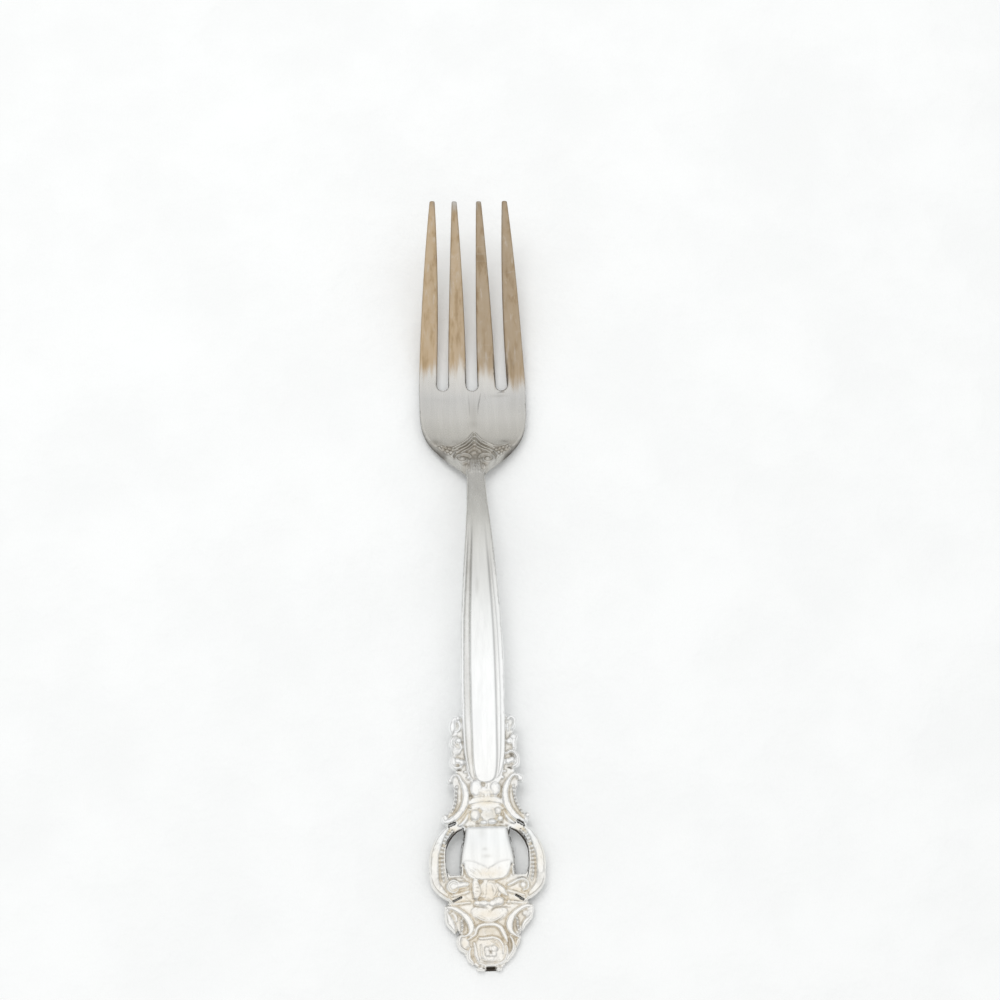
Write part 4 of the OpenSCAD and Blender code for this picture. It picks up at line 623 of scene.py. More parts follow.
# heel of the palm
def addHeel():
    # five pointed arches, knobbly leaves beside them, loops and small scrolls below, and ribs up the neck
    balls([(-0.2, 29.6, 0.75, 0.6, 0.4)])
    onBoth(balls, [
        (3.1, 27.6, 0.62, 0.5, 0.4), (2.85, 24.75, 0.36, 0.34, 0.42), (5.9, 29.6, 0.5, 0.42, 0.44),
        (6.8, 30.1, 0.48, 0.4, 0.44), (7.8, 30.6, 0.5, 0.38, 0.44), (8.7, 31, 0.4, 0.34, 0.44),
        (6.6, 29, 0.45, 0.36, 0.44), (7.4, 29.5, 0.42, 0.34, 0.44), (6.2, 28.3, 0.4, 0.34, 0.44),
        (5.4, 30.5, 0.42, 0.34, 0.44), (6.3, 30.9, 0.45, 0.34, 0.44), (7.2, 31.3, 0.42, 0.3, 0.44),
        (8.1, 31.5, 0.4, 0.28, 0.44)])
    arches = [
        ([(0.85, 35.2, 0.3, 1), (1.6, 34.1, 0.32, 1), (2.7, 33.1, 0.32, 1), (3.8, 32.4, 0.3, 0.9),
          (4.7, 32, 0.2, 0.6)],
         [(0.6, 35.2, 0.3, 1), (1.3, 34.2, 0.32, 1), (2.3, 33.2, 0.32, 1), (3.4, 32.3, 0.32, 1),
          (5.2, 31.2, 0.2, 0.6)], 36.1),
        ([(0.7, 34.5, 0.26, 1), (1.4, 33.4, 0.28, 1), (2.4, 32.45, 0.28, 1), (3.7, 31.75, 0.26, 0.9),
          (4.9, 31.2, 0.2, 0.6)],
         [(0.5, 34.2, 0.26, 1), (1.25, 33.2, 0.28, 1), (2.2, 32.2, 0.28, 1), (3.5, 31.4, 0.26, 0.9),
          (4.8, 30.6, 0.2, 0.6)], 34.9),
        ([(0.6, 33.05, 0.26, 1), (1.2, 32.2, 0.28, 1), (2.1, 31.35, 0.28, 1), (3.4, 30.65, 0.26, 0.9),
          (4.5, 30.1, 0.2, 0.6)],
         [(0.5, 33, 0.26, 1), (1.1, 32.1, 0.28, 1), (2, 31.2, 0.28, 1), (3.3, 30.4, 0.26, 0.9),
          (4.4, 29.7, 0.2, 0.6)], 33.7),
        ([(0.8, 31.4, 0.24, 1), (1.9, 30.6, 0.26, 1), (2.9, 30.1, 0.26, 1), (3.9, 29.5, 0.2, 0.6)],
         [(0.8, 31.3, 0.24, 1), (1.8, 30.4, 0.26, 1), (2.8, 29.8, 0.26, 1), (3.7, 29.1, 0.2, 0.6)], 32.2),
        ([(0.6, 30.5, 0.22, 0.9), (1.4, 30, 0.2, 0.7)], [(0.7, 30.5, 0.22, 0.9), (1.5, 29.9, 0.2, 0.7)], 31),
    ]
    for right, left, top in arches:
        ridge(mirrored(left[::-1]) + [(0.05, top, 0.26, 0.9)] + right, height=0.6, edge=False)
        groove([(x, y - 0.5, 0.16, share) for x, y, _, share in right], depth=0.12, soot=0.4)
        groove([(-x, y - 0.5, 0.16, share) for x, y, _, share in left], depth=0.12, soot=0.4)
    groove([(-0.1, 34.5, 0.2, 0.6), (0.05, 34.15, 0.3, 1), (0.1, 33.8, 0.2, 0.6)], depth=0.1, soot=0.4)
    # leaves beside the loops, the loops, the small scrolls, and the knobs
    ridge([(4.7, 30.2, 0.26, 0.7), (5.3, 29.2, 0.42, 1), (5.8, 28.1, 0.34, 0.8)], height=0.56, edge=False)
    onLeft(ridge, [(4.7, 30.05, 0.26, 0.7), (5.3, 29.05, 0.42, 1), (5.8, 27.95, 0.34, 0.8)], height=0.56, edge=False)
    onBoth(ridge, [(1, 28.1, 0.24, 0.8), (1.6, 28.75, 0.28, 0.9), (2.8, 28.95, 0.3, 1), (4, 28.5, 0.32, 1),
                   (4.7, 27.6, 0.34, 1), (4.3, 26.6, 0.34, 1), (3.3, 26.15, 0.32, 1), (2.3, 26.5, 0.3, 1),
                   (2, 27.3, 0.28, 0.9)], height=0.56, edge=False)
    onBoth(ridge, [(3.6, 25.3, 0.22, 0.7), (3.4, 24.5, 0.28, 0.9), (2.85, 24.1, 0.3, 1), (2.3, 24.5, 0.28, 1),
                   (2, 25.4, 0.24, 0.9)], height=0.4, edge=False)
    onBoth(groove, [(4.9, 28.5, 0.16, 0.6), (5.2, 27.6, 0.18, 1), (4.8, 26.4, 0.18, 1), (3.9, 25.6, 0.18, 0.8)],
           depth=0.12, soot=0.38)
    onBoth(groove, [(1.2, 27.3, 0.14, 0.6), (1.3, 26.4, 0.16, 1), (1.5, 25.4, 0.14, 0.7)], depth=0.12, soot=0.36)
    for x in (-1.05, -0.35, 0.35, 1.05):
        ridge([(x * 0.9, 23.1, 0.14, 0.3), (x, 24.4, 0.24, 1), (x * 1.05, 25.8, 0.24, 1), (x * 0.8, 27.6, 0.16, 0.6)],
              height=0.34, edge=False)


def addMarks():
    # painted shade along some of the slots' edges and the heel's top border, and scratches and stains on the palm;
    # half widths are in the rows
    shadeAndStainLines = [
        ([(-1.85, 56.5, 0.1, 0.4), (-1.65, 53.5, 0.15, 1), (-1.6, 50.3, 0.17, 1)], 0.85),
        ([(5.4, 58.5, 0.1, 0.5), (5.65, 55, 0.15, 1), (5.85, 50.8, 0.18, 1), (6.3, 48.7, 0.14, 0.8)], 0.9),
        ([(8.85, 58, 0.1, 0.5), (8.95, 54, 0.15, 1), (9, 50.5, 0.16, 1), (8.3, 48.6, 0.15, 1),
          (7.2, 48.2, 0.12, 0.7)], 0.85),
        ([(1.5, 51.5, 0.12, 0.5), (1.4, 49.4, 0.14, 0.9), (0.2, 48.3, 0.14, 0.7), (-1.2, 49, 0.13, 0.8)], 0.5),
        ([(-8.9, 50.5, 0.1, 0.6), (-8.4, 48.8, 0.13, 0.8), (-7.4, 48.2, 0.1, 0.4)], 0.5),
        ([(-0.95, 47.4, 0.1, 0.6), (-0.9, 45, 0.13, 1), (-0.85, 42, 0.12, 0.9), (-0.9, 40.8, 0.08, 0.2)], 0.42),
        ([(2.1, 47.6, 0.12, 0.8), (1.7, 45.6, 0.17, 1), (1.35, 43.6, 0.15, 1), (1.2, 41.4, 0.1, 0.4)], 0.5),
        ([(3, 47.8, 0.12, 0.6), (3.3, 46.2, 0.14, 0.8), (3.9, 44.9, 0.1, 0.3)], 0.36),
        ([(6.2, 47.6, 0.14, 0.5), (7.4, 47.9, 0.22, 1), (8.6, 47.6, 0.12, 0.4)], 0.5),
        ([(-4.4, 47.2, 0.12, 0.5), (-3.2, 46.6, 0.14, 0.8), (-2.6, 45.6, 0.1, 0.4)], 0.26),
        ([(11.2, 42.9, 0.14, 0.6), (11.5, 42.2, 0.18, 0.9), (11.1, 41.6, 0.12, 0.4)], 0.3),
        ([(6.9, 33.8, 0.2, 0.6), (7.6, 33.3, 0.3, 1), (8.4, 33, 0.2, 0.6)], 0.35),
        ([(8.4, 31.4, 0.2, 0.5), (9, 30.9, 0.34, 1), (9.6, 31.3, 0.3, 0.8)], 0.55),
        ([(-9.6, 31.2, 0.2, 0.6), (-8.4, 30.1, 0.26, 0.9), (-7.2, 28.9, 0.24, 1), (-6.2, 28.3, 0.16, 0.6)], 0.45),
        ([(5.4, 28.3, 0.14, 0.6), (5.9, 28.5, 0.2, 1), (6.3, 29, 0.12, 0.4)], 0.55),
    ]
    for rows, soot in shadeAndStainLines:
        groove(rows, depth=0.02, soot=soot)


# thickness of the metal, from the underside to the face; the palm is dished beyond a flat middle
metal = {
    "plate": 1.35, "neck": 3.2, "palm": 2.2, "root": 1.9, "tip": 1.02, "palmPlace": 11, "crown": 0.3,
    "dishDepth": 1.1, "dishFlat": 2.6, "dishHalf": 13, "thinnest": 0.06,
}
# crowned panel, channels and borders of the stem; a pair is (left, right)
stemShape = {
    "panelHalfWidths": [
        (-53, 0), (-52.8, 1.4), (-52.3, 2.3), (-51.5, 2.8), (-50.5, 3.05), (-49, 3.25), (-46, 3.4),
        (-41, 3.45), (-37, 3.5), (-31, 3.5), (-17.5, 3.3), (-4, 2.7), (9, 2), (24, 1.5)],
    "rimHalfWidths": [
        (-53.5, 2.3), (-52.6, 3), (-51.5, 3.5), (-50.5, 3.8), (-49, 4.05), (-46, 4.4), (-41, 4.62), (-37, 4.7),
        (-31, 4.72), (-17.5, 4.45), (-4, 3.6), (9, 2.6), (24, 1.9)],
    "panelRise": 1, "panelCrown": 0.14, "panelShare": (0.9, 0.97), "flank": (0.5, 0.8), "channel": (0.16, 0.55),
    "rimRise": 0.8, "rimWidth": (0.42, 0.62), "rimShift": (-0.05, 0.2), "rimFlank": 0.34, "rimStart": (-52.9, -51),
    "rimInset": 0.2, "overPlate": -54, "overPlateMargin": 0.42,
}
heelRows = (23, 38)


def dishAt(x):
    beyond = np.maximum(np.abs(x) - metal["dishFlat"], 0) / (metal["dishHalf"] - metal["dishFlat"])
    return metal["dishDepth"] * beyond ** 2


def bySide(pair):
    return np.where(planX < 0, *pair)


def stemFace(half):
    # the panel with a channel and a raised rim on each side; towards the neck they run out into a crowned bar
    shape = stemShape
    base = metal["plate"] + (metal["neck"] - shape["panelRise"] - metal["plate"]) * np.clip(
        (gridY - jointY) / (panelY - jointY), 0, 1)
    panelHalf = easedTable(shape["panelHalfWidths"], gridY)[:, None] * bySide(shape["panelShare"])
    channel = bySide(shape["channel"])
    u = acrossX / np.maximum(panelHalf, 0.01)
    flank = smoothStep(0, 1, (panelHalf - acrossX) / bySide(shape["flank"]))
    crowned = (1 - shape["panelCrown"]) + shape["panelCrown"] * (1 - u * u)
    panel = np.where(u < 1, channel + (shape["panelRise"] - channel) * flank * crowned, 0)
    fromRim = np.abs(acrossX - easedTable(shape["rimHalfWidths"], gridY)[:, None] + bySide(shape["rimShift"]))
    outside = fromRim - bySide(shape["rimWidth"]) + shape["rimInset"]
    rim = shape["rimRise"] * (1 - smoothStep(0, 1, outside / shape["rimFlank"]))
    rim *= smoothStep(*shape["rimStart"], gridY)[:, None]
    shaped = np.maximum(np.maximum(panel, channel), rim)
    plain = shape["panelRise"] * (1 - metal["crown"] * (acrossX / half) ** 2)
    grown = smoothStep(panelY + 5, panelY - 14, gridY)[:, None]
    return base[:, None] + plain + (shaped - plain) * grown


def faceField():
    y = gridY
    half = np.maximum(easedTable(bodyShape["halfWidths"], y), 2)[:, None]
    stem = stemFace(half)
    body = easedTable([(panelY, metal["neck"]), (palmY, metal["neck"]), (palmY + metal["palmPlace"], metal["palm"]),
                       (crotchY, metal["root"]), (tipY, metal["tip"])], y)
    onBody = smoothStep(panelY - 1, panelY + 3, y)[:, None]
    crown = metal["crown"] * (acrossX / half) ** 2 * smoothStep(palmY + 5, palmY - 3, y)[:, None]
    face = stem * (1 - onBody) + (body[:, None] - np.minimum(crown, metal["crown"])) * onBody
    heel = (y > heelRows[0])[:, None] & (y < heelRows[1])[:, None]
    face = face + np.where(heel, np.maximum(relief, 0), 0)
    # on the handle the ornament stands on the plate, and the stem's end lies over it
    onPlate = metal["plate"] + np.maximum(relief, 0)
    rimHalf = easedTable(stemShape["rimHalfWidths"], y)[:, None]
    over = (y > stemShape["overPlate"])[:, None] & (acrossX < rimHalf + stemShape["overPlateMargin"])
    onHandle = (y < jointY)[:, None]
    return np.where(onHandle, np.maximum(onPlate, np.where(over, stem, 0)), face) - carved


# outline loops, seams and triangles
# for each pattern of metal at a square's corners, from which side to which the outline crosses it
squareJoins = {
    1: ["03"], 2: ["10"], 3: ["13"], 4: ["21"], 5: ["03", "21"], 6: ["20"], 7: ["23"], 8: ["32"],
    9: ["02"], 10: ["10", "32"], 11: ["12"], 12: ["31"], 13: ["01"], 14: ["30"],
}


def loopsOf(field):
    # outlines of the metal, with the metal on the left: marching squares over the raster
    metalHere = field > 0
    squares = (metalHere[:-1, :-1] * 1 + metalHere[:-1, 1:] * 2 + metalHere[1:, 1:] * 4 + metalHere[1:, :-1] * 8)
    following = {}
    for r, c in zip(*np.nonzero((squares > 0) & (squares < 15))):
        sides = [("across", r, c), ("along", r, c + 1), ("across", r + 1, c), ("along", r, c)]
        for join in squareJoins[int(squares[r, c])]:
            following[sides[int(join[0])]] = sides[int(join[1])]
    loops = []
    while following:
        start, here = following.popitem()
        edges = [start, here]
        while here in following:
            here = following.pop(here)
            edges.append(here)
        loops.append(edges[:-1] if edges[-1] == edges[0] else edges)
    points = []
    for edges in loops:
        loop = []
        for way, r, c in edges:
            r2, c2 = (r, c + 1) if way == "across" else (r + 1, c)
            t = field[r, c] / (field[r, c] - field[r2, c2])
            loop.append((gridX[c] + (gridX[c2] - gridX[c]) * t, gridY[r] + (gridY[r2] - gridY[r]) * t))
        points.append(np.array(loop))
    return points


def thinned(loop, tolerance, longest):
    # drops points that lie on the line between their neighbours
    keep = np.zeros(len(loop), bool)
    keep[[0, len(loop) // 2, len(loop) - 1]] = True
    spans = [(0, len(loop) // 2), (len(loop) // 2, len(loop) - 1)]
    while spans:
        a, b = spans.pop()
        if b - a < 2:
            continue
        line = loop[b] - loop[a]
        length = max(np.hypot(*line), 1e-9)
        off = np.abs((loop[a + 1:b, 0] - loop[a, 0]) * line[1] - (loop[a + 1:b, 1] - loop[a, 1]) * line[0]) / length
        k = int(off.argmax())
        if off[k] > tolerance or length > longest:
            k = k + a + 1 if off[k] > tolerance else (a + b) // 2
            keep[k] = True
            spans += [(a, k), (k, b)]
    return loop[keep]


# zones are (from, to, step across, step along); the face's rounding changes along the fork
meshing = {
    "thinTolerance": 0.004, "longestEdge": 0.9, "fewestPoints": 12, "reach": 13.8,
    "zones": [(-95.4, jointY, 0.13, 0.13), (jointY, 22.6, 0.2, 0.6), (22.6, 37.6, 0.14, 0.14),
              (37.6, crotchY, 0.22, 0.26), (crotchY, 95.6, 0.36, 0.7)],
    "backStep": (0.8, 0.9), "rounding": [(-50, 0.24), (-36, 0.34), (30, 0.34), (50, 0.4)], "backRound": 0.3,
    "ringShares": (0.18, 0.5, 0.95), "ringClear": 0.86, "gridClear": 0.45, "seamClear": 0.03, "seamShare": 0.3,
    "seamStep": 0.25,
}
seamPlaces = [jointY, panelY, palmY, crotchY]


def roundingAt(y, front=True):
    return easedTable(meshing["rounding"], y) if front else np.full_like(y, meshing["backRound"])


def cutAtSeams(loop):
    # adds a point wherever the outline crosses a seam between two pieces
    points = []
    for a, b in zip(loop, np.roll(loop, -1, 0)):
        points.append(a)
        crossings = [(s - a[1]) / (b[1] - a[1]) for s in seamPlaces if (a[1] - s) * (b[1] - s) < 0]
        for t in sorted(crossings):
            point = a + (b - a) * t
            points.append(np.array([point[0], min(seamPlaces, key=lambda s: abs(s - point[1]))]))
    return np.array(points)


def gridPoints(step, low, high, field, margin):
    # staggered rows of points
    xs = np.arange(-meshing["reach"], meshing["reach"], step[0])
    ys = np.arange(low + step[1] / 2, high, step[1])
    x, y = np.meshgrid(xs, ys)
    x = x + (np.arange(len(ys)) % 2)[:, None] * step[0] / 2
    x, y = x.ravel(), y.ravel()
    inside = readPlan(field, x, y) > margin
    return np.stack([x[inside], y[inside]], 1)


def innerPoints(field, loops, front):
    # rings that follow the edge, where the metal is rounded, and a grid inside them
    gradY, gradX = np.gradient(field, cell)
    sets = []
    for loop in loops:
        x, y = loop.T
        nx, ny = readPlan(gradX, x, y), readPlan(gradY, x, y)
        size = np.maximum(np.hypot(nx, ny), 1e-6)
        r = roundingAt(y, front)
        for share in meshing["ringShares"]:
            px, py = x + nx / size * r * share, y + ny / size * r * share
            clear = readPlan(field, px, py) > meshing["ringClear"] * r * share
            for seam in seamPlaces:
                clear &= np.abs(py - seam) > meshing["seamClear"]
            sets.append(np.stack([px[clear], py[clear]], 1))
    for low, high, *step in meshing["zones"]:
        step = step if front else meshing["backStep"]
        margin = float(roundingAt(np.array([(low + high) / 2]), front)[0])
        points = gridPoints(step, low, high, field, margin + meshing["gridClear"] * min(step))
        for seam in seamPlaces:
            points = points[np.abs(points[:, 1] - seam) > meshing["seamShare"] * step[1]]
        sets.append(points)
    return np.vstack(sets)


def seamChains(points):
    # straight rows of points across the metal at each seam, between the outline's own points
    chains = []
    for seam in seamPlaces:
        ends = [i for i in range(len(points)) if points[i][1] == seam]
        ends.sort(key=lambda i: points[i][0])
        for a, b in zip(ends[::2], ends[1::2]):
            count = max(int((points[b][0] - points[a][0]) / meshing["seamStep"]), 2)
            xs = np.linspace(points[a][0], points[b][0], count + 1)[1:-1]
            chains.append((a, b, np.stack([xs, np.full(len(xs), seam)], 1)))
    return chains


def triangulate(loops, chains, inner):
    # triangles of one sheet, on the outline's points, then the seams' and then its own
    points = np.vstack(loops + [chain[2] for chain in chains] + [inner])
    faces, edges, start = [], [], 0
    for loop in loops:
        x, y = loop.T
        ids = list(range(start, start + len(loop)))
        faces.append(ids if (x * np.roll(y, -1) - np.roll(x, -1) * y).sum() > 0 else ids[::-1])
        start += len(loop)
    for a, b, row in chains:
        ids = [a] + list(range(start, start + len(row))) + [b]
        edges += list(zip(ids, ids[1:]))
        start += len(row)
    result = delaunay_2d_cdt([Vector(p) for p in points.tolist()], edges, faces, 1, 1e-7, True)
    kept = np.array([face for face, inside in zip(result[2], result[5]) if list(inside) == [0]])
    if len(result[0]) != len(points):
        raise RuntimeError("the outline crosses itself: %d points became %d" % (len(points), len(result[0])))
    triangles = np.array([ids[0] for ids in result[3]])[kept]
    a, b, c = (points[triangles[:, k]] for k in range(3))
    turned = (b[:, 0] - a[:, 0]) * (c[:, 1] - a[:, 1]) - (b[:, 1] - a[:, 1]) * (c[:, 0] - a[:, 0]) < 0
    triangles[turned] = triangles[turned][:, ::-1]
    return points, triangles


# how unevenly the dies struck the ornament, and where; zones are (from, to, how far out)
strike = {
    "roughness": 0.038, "grain": 0.17, "seed": 11, "fade": 0.3, "softening": 0.085,
    "ornament": [(-99, -36.5, 99), (*heelRows, 99)], "smooth": [(-71.5, -62.9, 6.1), (-53, -36.5, 5.1)],
    "heelTop": 32, "heelPeak": 4, "heelSpread": 2,
}
# hollows and crests of two sizes: radius, and the depth at which the mask is full
maskSizes = {"fine": (0.35, 0.6), "broad": (1.2, 0.85)}


def inZones(zones):
    return np.any([(planY > low) & (planY < high) & (acrossX < out) for low, high, out in zones], axis=0)


def drawFork():
    print("fork: relief")
    for draw in (addCrests, addShoulders, addCollar, addCartouche, addArms, addVolutes, addBlossom, addEnd, addRose):
        draw()
    outline = np.where(planY < jointY, handleField(), bodyField())
    tines = np.maximum.reduce([tineField(k) for k in range(4)])
    outline = np.where(planY > crotchY, tines, outline)
    addHeel()
    addMarks()
    face = faceField()
    heelTop = strike["heelTop"] + strike["heelPeak"] * np.exp(-acrossX / strike["heelSpread"])
    struck = inZones(strike["ornament"]) & ((planY < 0) | (planY <= heelTop))
    uneven = soften(np.random.default_rng(strike["seed"]).standard_normal(planX.shape), strike["grain"])
    where = soften((struck & ~inZones(strike["smooth"])).astype(float), strike["fade"])
    face = face + strike["roughness"] * uneven / uneven.std() * where
    face = np.where(struck, soften(face, strike["softening"]), face)
    print("fork: shading masks")
    weight = (outline > -0.1).astype(float)
    masks = {"soot": soften(sooted, 0.06)}
    fromEdge = smoothStep(0.1, 0.6, outline)
    for name, (radius, depth) in maskSizes.items():
        level = soften(face * weight, radius) / np.maximum(soften(weight, radius), 1e-3)
        masks[name + "Hollow"] = np.clip((level - face) / depth, 0, 1) * fromEdge
        masks[name + "Crest"] = np.clip((face - level) / depth, 0, 1)
    return outline, face, masks


# where the silver has turned warm, on both sides: (x, y, half width, half length, strength)
patinaSpots = [
    (0, -57.2, 3.8, 1.8, 0.6), (0, -55.2, 3, 0.9, 0.45), (0, -60.2, 1.8, 1.2, 0.45), (4, -60, 7, 2.6, 0.42),
    (7, -56, 2, 5, 0.1), (6.5, -45, 2.5, 7, 0.2), (0, -73.6, 5, 1.6, 0.5), (0, -77.5, 6, 2.8, 0.55),
    (0, -82.5, 4, 1.5, 0.55), (5.2, -79.6, 4, 1.2, 0.55), (0, -88, 8, 6, 0.4), (0, -83, 9, 4, 0.34),
    (10.4, -69, 1.8, 6, 0.34), (12, -69, 2, 5.5, 0.46), (11.2, -77, 2.4, 3, 0.25), (4.9, -57.5, 1.1, 4.5, 0.38),
    (2.2, -54.6, 2, 1.6, 0.3), (7.6, -63.8, 2.2, 1.2, 0.5), (8.8, -78.2, 2, 1.2, 0.5), (5.8, -89, 1.4, 1.4, 0.5),
    (0, -86.2, 2.6, 0.9, 0.55), (6.5, -77.6, 2.5, 1.3, 0.55), (0, 30, 5.5, 3.8, 0.62), (7, 30.6, 3, 1.8, 0.6),
    (9.6, 32.2, 2.4, 1.6, 0.45), (2.4, 25.2, 1.4, 2.2, 0.5),
]
# where it has turned dull and grey, and where shade and reflections are painted in grey, in the same terms but on one
# side
dullAndShadeSpots = [
    (-1.6, 2, 1.4, 9, 0.25), (-0.75, -6.5, 0.6, 2.4, 0.35), (2.3, -2, 1, 6, 0.25), (-3.75, -27, 0.4, 13, 0.5),
    (3.25, -27, 0.3, 12, 0.2), (-4.2, -45, 0.9, 6, 0.45), (-2, -51.5, 1, 0.6, 0.2), (-0.6, -68.1, 0.6, 0.4, 0.4),
    (-0.2, -69.7, 1, 0.4, 0.45), (-1.2, -64.4, 1, 1.4, 0.25), (-3.4, -66.5, 1.6, 3, 0.16), (11.6, -75, 0.9, 1.6, 0.5),
    (-11.6, -75, 0.9, 1.6, 0.4), (7, -56, 0.7, 3, 0.6), (-7, -56, 0.7, 3.2, 0.6), (8, -59.4, 0.7, 1, 0.5),
    (-8.1, -59.4, 0.7, 1, 0.3), (6.4, -84.8, 0.7, 1.8, 0.7), (-6.1, -84.8, 0.8, 1.8, 0.6), (8.4, -82.5, 1, 0.8, 0.35),
    (-7.8, -82.4, 0.9, 0.8, 0.3), (0.9, -60.3, 1.4, 1.2, 0.4), (-0.4, -86.3, 2.4, 0.8, 0.35),
    (7.5, -74.4, 2, 0.4, 0.6), (-7.5, -74.3, 2.2, 0.4, 0.6), (-9.7, -76.6, 0.6, 1.4, 0.4),
    (9.9, -76.6, 0.5, 1.2, 0.35), (6.2, -42, 1, 0.5, 0.5), (6.2, -45.9, 1, 0.4, 0.5), (-6.6, -42.3, 1.4, 0.6, 0.5),
    (-6.5, -46.2, 1.3, 0.9, 0.5), (4.6, -89.5, 0.5, 1.4, 0.4), (-4.3, -88.9, 0.6, 1, 0.3), (7.5, 33.2, 1.5, 0.6, 0.6),
    (-9.5, 33, 1.2, 0.7, 0.5), (-4.5, 33.3, 1.2, 0.6, 0.35), (0, 28, 4.4, 1.7, 0.7), (6.6, 30.4, 2.4, 1.5, 0.45),
    (-6.6, 30.4, 2.4, 1.5, 0.35), (0, 39, 1.2, 1.6, 0.5), (6.7, 46.8, 2.4, 0.4, 0.4), (0.1, 41.5, 1.2, 4.6, 0.4),
    (10.2, 45, 1.5, 3, 0.15), (0.2, 18, 1.2, 4, 0.15), (-12.6, 73, 0.9, 4, 0.35), (-5, 76, 0.6, 5, 0.4),
    (-4.7, 88.5, 0.8, 4.5, 0.4), (2.6, 80, 1.1, 8, 0.35), (9.2, 80, 1.1, 3.5, 0.45), (9.3, 72, 0.8, 7, 0.35),
    (11, 67, 0.8, 5, 0.2), (3.2, 69, 1, 3, 0.15), (-9.6, 73, 0.9, 6, 0.18), (-3.9, 95, 1.5, 2.6, 0.85),
    (-9.4, 95.4, 1.5, 1.6, 0.7), (2.5, 95, 1.5, 2.4, 0.8), (9, 95.4, 1.5, 1.4, 0.6), (-7.5, 45.5, 4.5, 0.8, 0.12),
]
# where the tines start to turn tan, and where their tips are grey again: (x, y) of each tine, and over what length;
# the tan is golden on the left and duller on the right
tanShape = {
    "starts": [(-10.1, 49.8), (-3.4, 50.8), (3.4, 48.8), (10.1, 46.8)], "startFade": 7.0,
    "ends": [(-9.3, 92.5), (-3.8, 90.0), (2.5, 91.5), (9.0, 94.2)], "endFade": 5.0, "tip": 0.35,
    "golden": (-9, 4), "dullRight": ((-1, 3), (50, 58), 0.24),
}
# painted shade on the edges and round the windows: humps along the fork, and strengths at the face and at the back
edgeShade = {
    "windows": (70, 8), "windowFloor": (-72, -66, 0.5, 0.9), "slits": 0.85,
    "slots": {"reach": 9.4, "from": 47, "fade": (50, 58), "face": 0.5},
    "palmSides": {"span": (27, 30, 42, 54), "left": 0.6, "right": 0.75, "face": 0.4},
    "neckSides": {"span": (-30, 2, 18, 26), "strength": 0.65, "face": 0.3},
    "back": {"span": (-76, -72, -64.5, -61.5), "across": (9, 10.6), "strength": 0.45, "reach": 1.4},
}


def spotsAt(spots, x, y):
    amount = np.zeros_like(x)
    for px, py, rx, ry, strength in spots:
        amount = np.maximum(amount, strength * np.exp(-((x - px) / rx) ** 2 - ((y - py) / ry) ** 2))
    return amount


def wallShade(x, y, loopNumber):
    # painted shade: how dark the edge is at the face and at the back: openings first, then slots, and the sides of
    # palm and neck
    if loopNumber > 0:
        middle, half = edgeShade["windows"]
        low, high, least, most = edgeShade["windowFloor"]
        onWindow = least + (most - least) * smoothStep(low, high, y)
        return np.where(np.abs(y + middle) < half, onWindow, edgeShade["slits"]), np.ones_like(x)
    slot, palm, neck = (edgeShade[name] for name in ("slots", "palmSides", "neckSides"))
    slots = (np.abs(x) < slot["reach"]) * (y > slot["from"]) * (1 - smoothStep(*slot["fade"], y))
    palmSides = (np.abs(x) > 4) * hump(palm["span"], y) * np.where(x > 0, palm["right"], palm["left"])
    neckSides = neck["strength"] * hump(neck["span"], y)
    low = np.maximum.reduce([slots, palmSides, neckSides])
    return np.maximum.reduce([slot["face"] * slots, palm["face"] * palmSides, neck["face"] * neckSides]), low


def backShade(x, y, outline):
    # soft painted shade round the windows, on the back
    back = edgeShade["back"]
    near = hump(back["span"], y) * (1 - smoothStep(*back["across"], np.abs(x)))
    return back["strength"] * near * np.exp(-np.maximum(readPlan(outline, x, y), 0) / back["reach"])


def tarnishAt(x, y):
    # runs from below 0 on clean metal to above 1 where the tan is full
    onset = (y - easedTable(tanShape["starts"], x)) / tanShape["startFade"]
    tips = tanShape["tip"] + (easedTable(tanShape["ends"], x) + tanShape["endFade"] - y) / tanShape["endFade"]
    return np.clip(np.minimum(onset, tips), -1, 2)


def sheetPoints(side, outline, face, points, edgeCount):
    # a sheet's points in space: the face or the back, rounded off towards its edge
    x, y = points.T
    edge = np.maximum(readPlan(outline, x, y), 0)
    edge[:edgeCount] = 0
    r = roundingAt(y, side == "front")
    drop = r - np.sqrt(np.maximum(r ** 2 - (r - np.minimum(edge, r)) ** 2, 0))
    least = meshing["backRound"] + metal["thinnest"]
    rise = np.maximum(readPlan(face, x, y) - drop, least) if side == "front" else drop
    return pointsAt(x, y, rise + np.where(y > palmY, dishAt(x), 0))


regions = ["handle", "stem", "neck", "palm"]
tineNames = ["tine_outer_left", "tine_inner_left", "tine_inner_right", "tine_outer_right"]


def regionOf(x, y):
    # number of the piece that a place in the plan belongs to
    index = np.searchsorted(seamPlaces, y)
    s = np.clip((y - crotchY) / sideView["tineLength"], 0, 1)
    k = np.clip(np.floor(x / (rootPitch + (tineShape["tipPitch"] - rootPitch) * s) + 2), 0, 3).astype(int)
    return np.where(index == 4, 4 + k, index)


def meanNormals(points, faces):
    # each point's normal, as the mean of its faces' weighted by their angles there
    normals = np.zeros_like(points)
    a, b, c = (points[faces[:, k]] for k in range(3))
    cross = np.cross(b - a, c - a)
    for k in range(3):
        ahead, behind = points[faces[:, (k + 1) % 3]], points[faces[:, (k + 2) % 3]]
        u, v = ahead - points[faces[:, k]], behind - points[faces[:, k]]
        cosine = (u * v).sum(1) / np.maximum(np.linalg.norm(u, axis=1) * np.linalg.norm(v, axis=1), 1e-20)
        weight = np.arccos(np.clip(cosine, -1, 1)) / np.maximum(np.linalg.norm(cross, axis=1), 1e-20)
        for axis in range(3):
            normals[:, axis] += np.bincount(faces[:, k], cross[:, axis] * weight, len(points))
    return normals / np.maximum(np.linalg.norm(normals, axis=1), 1e-20)[:, None]


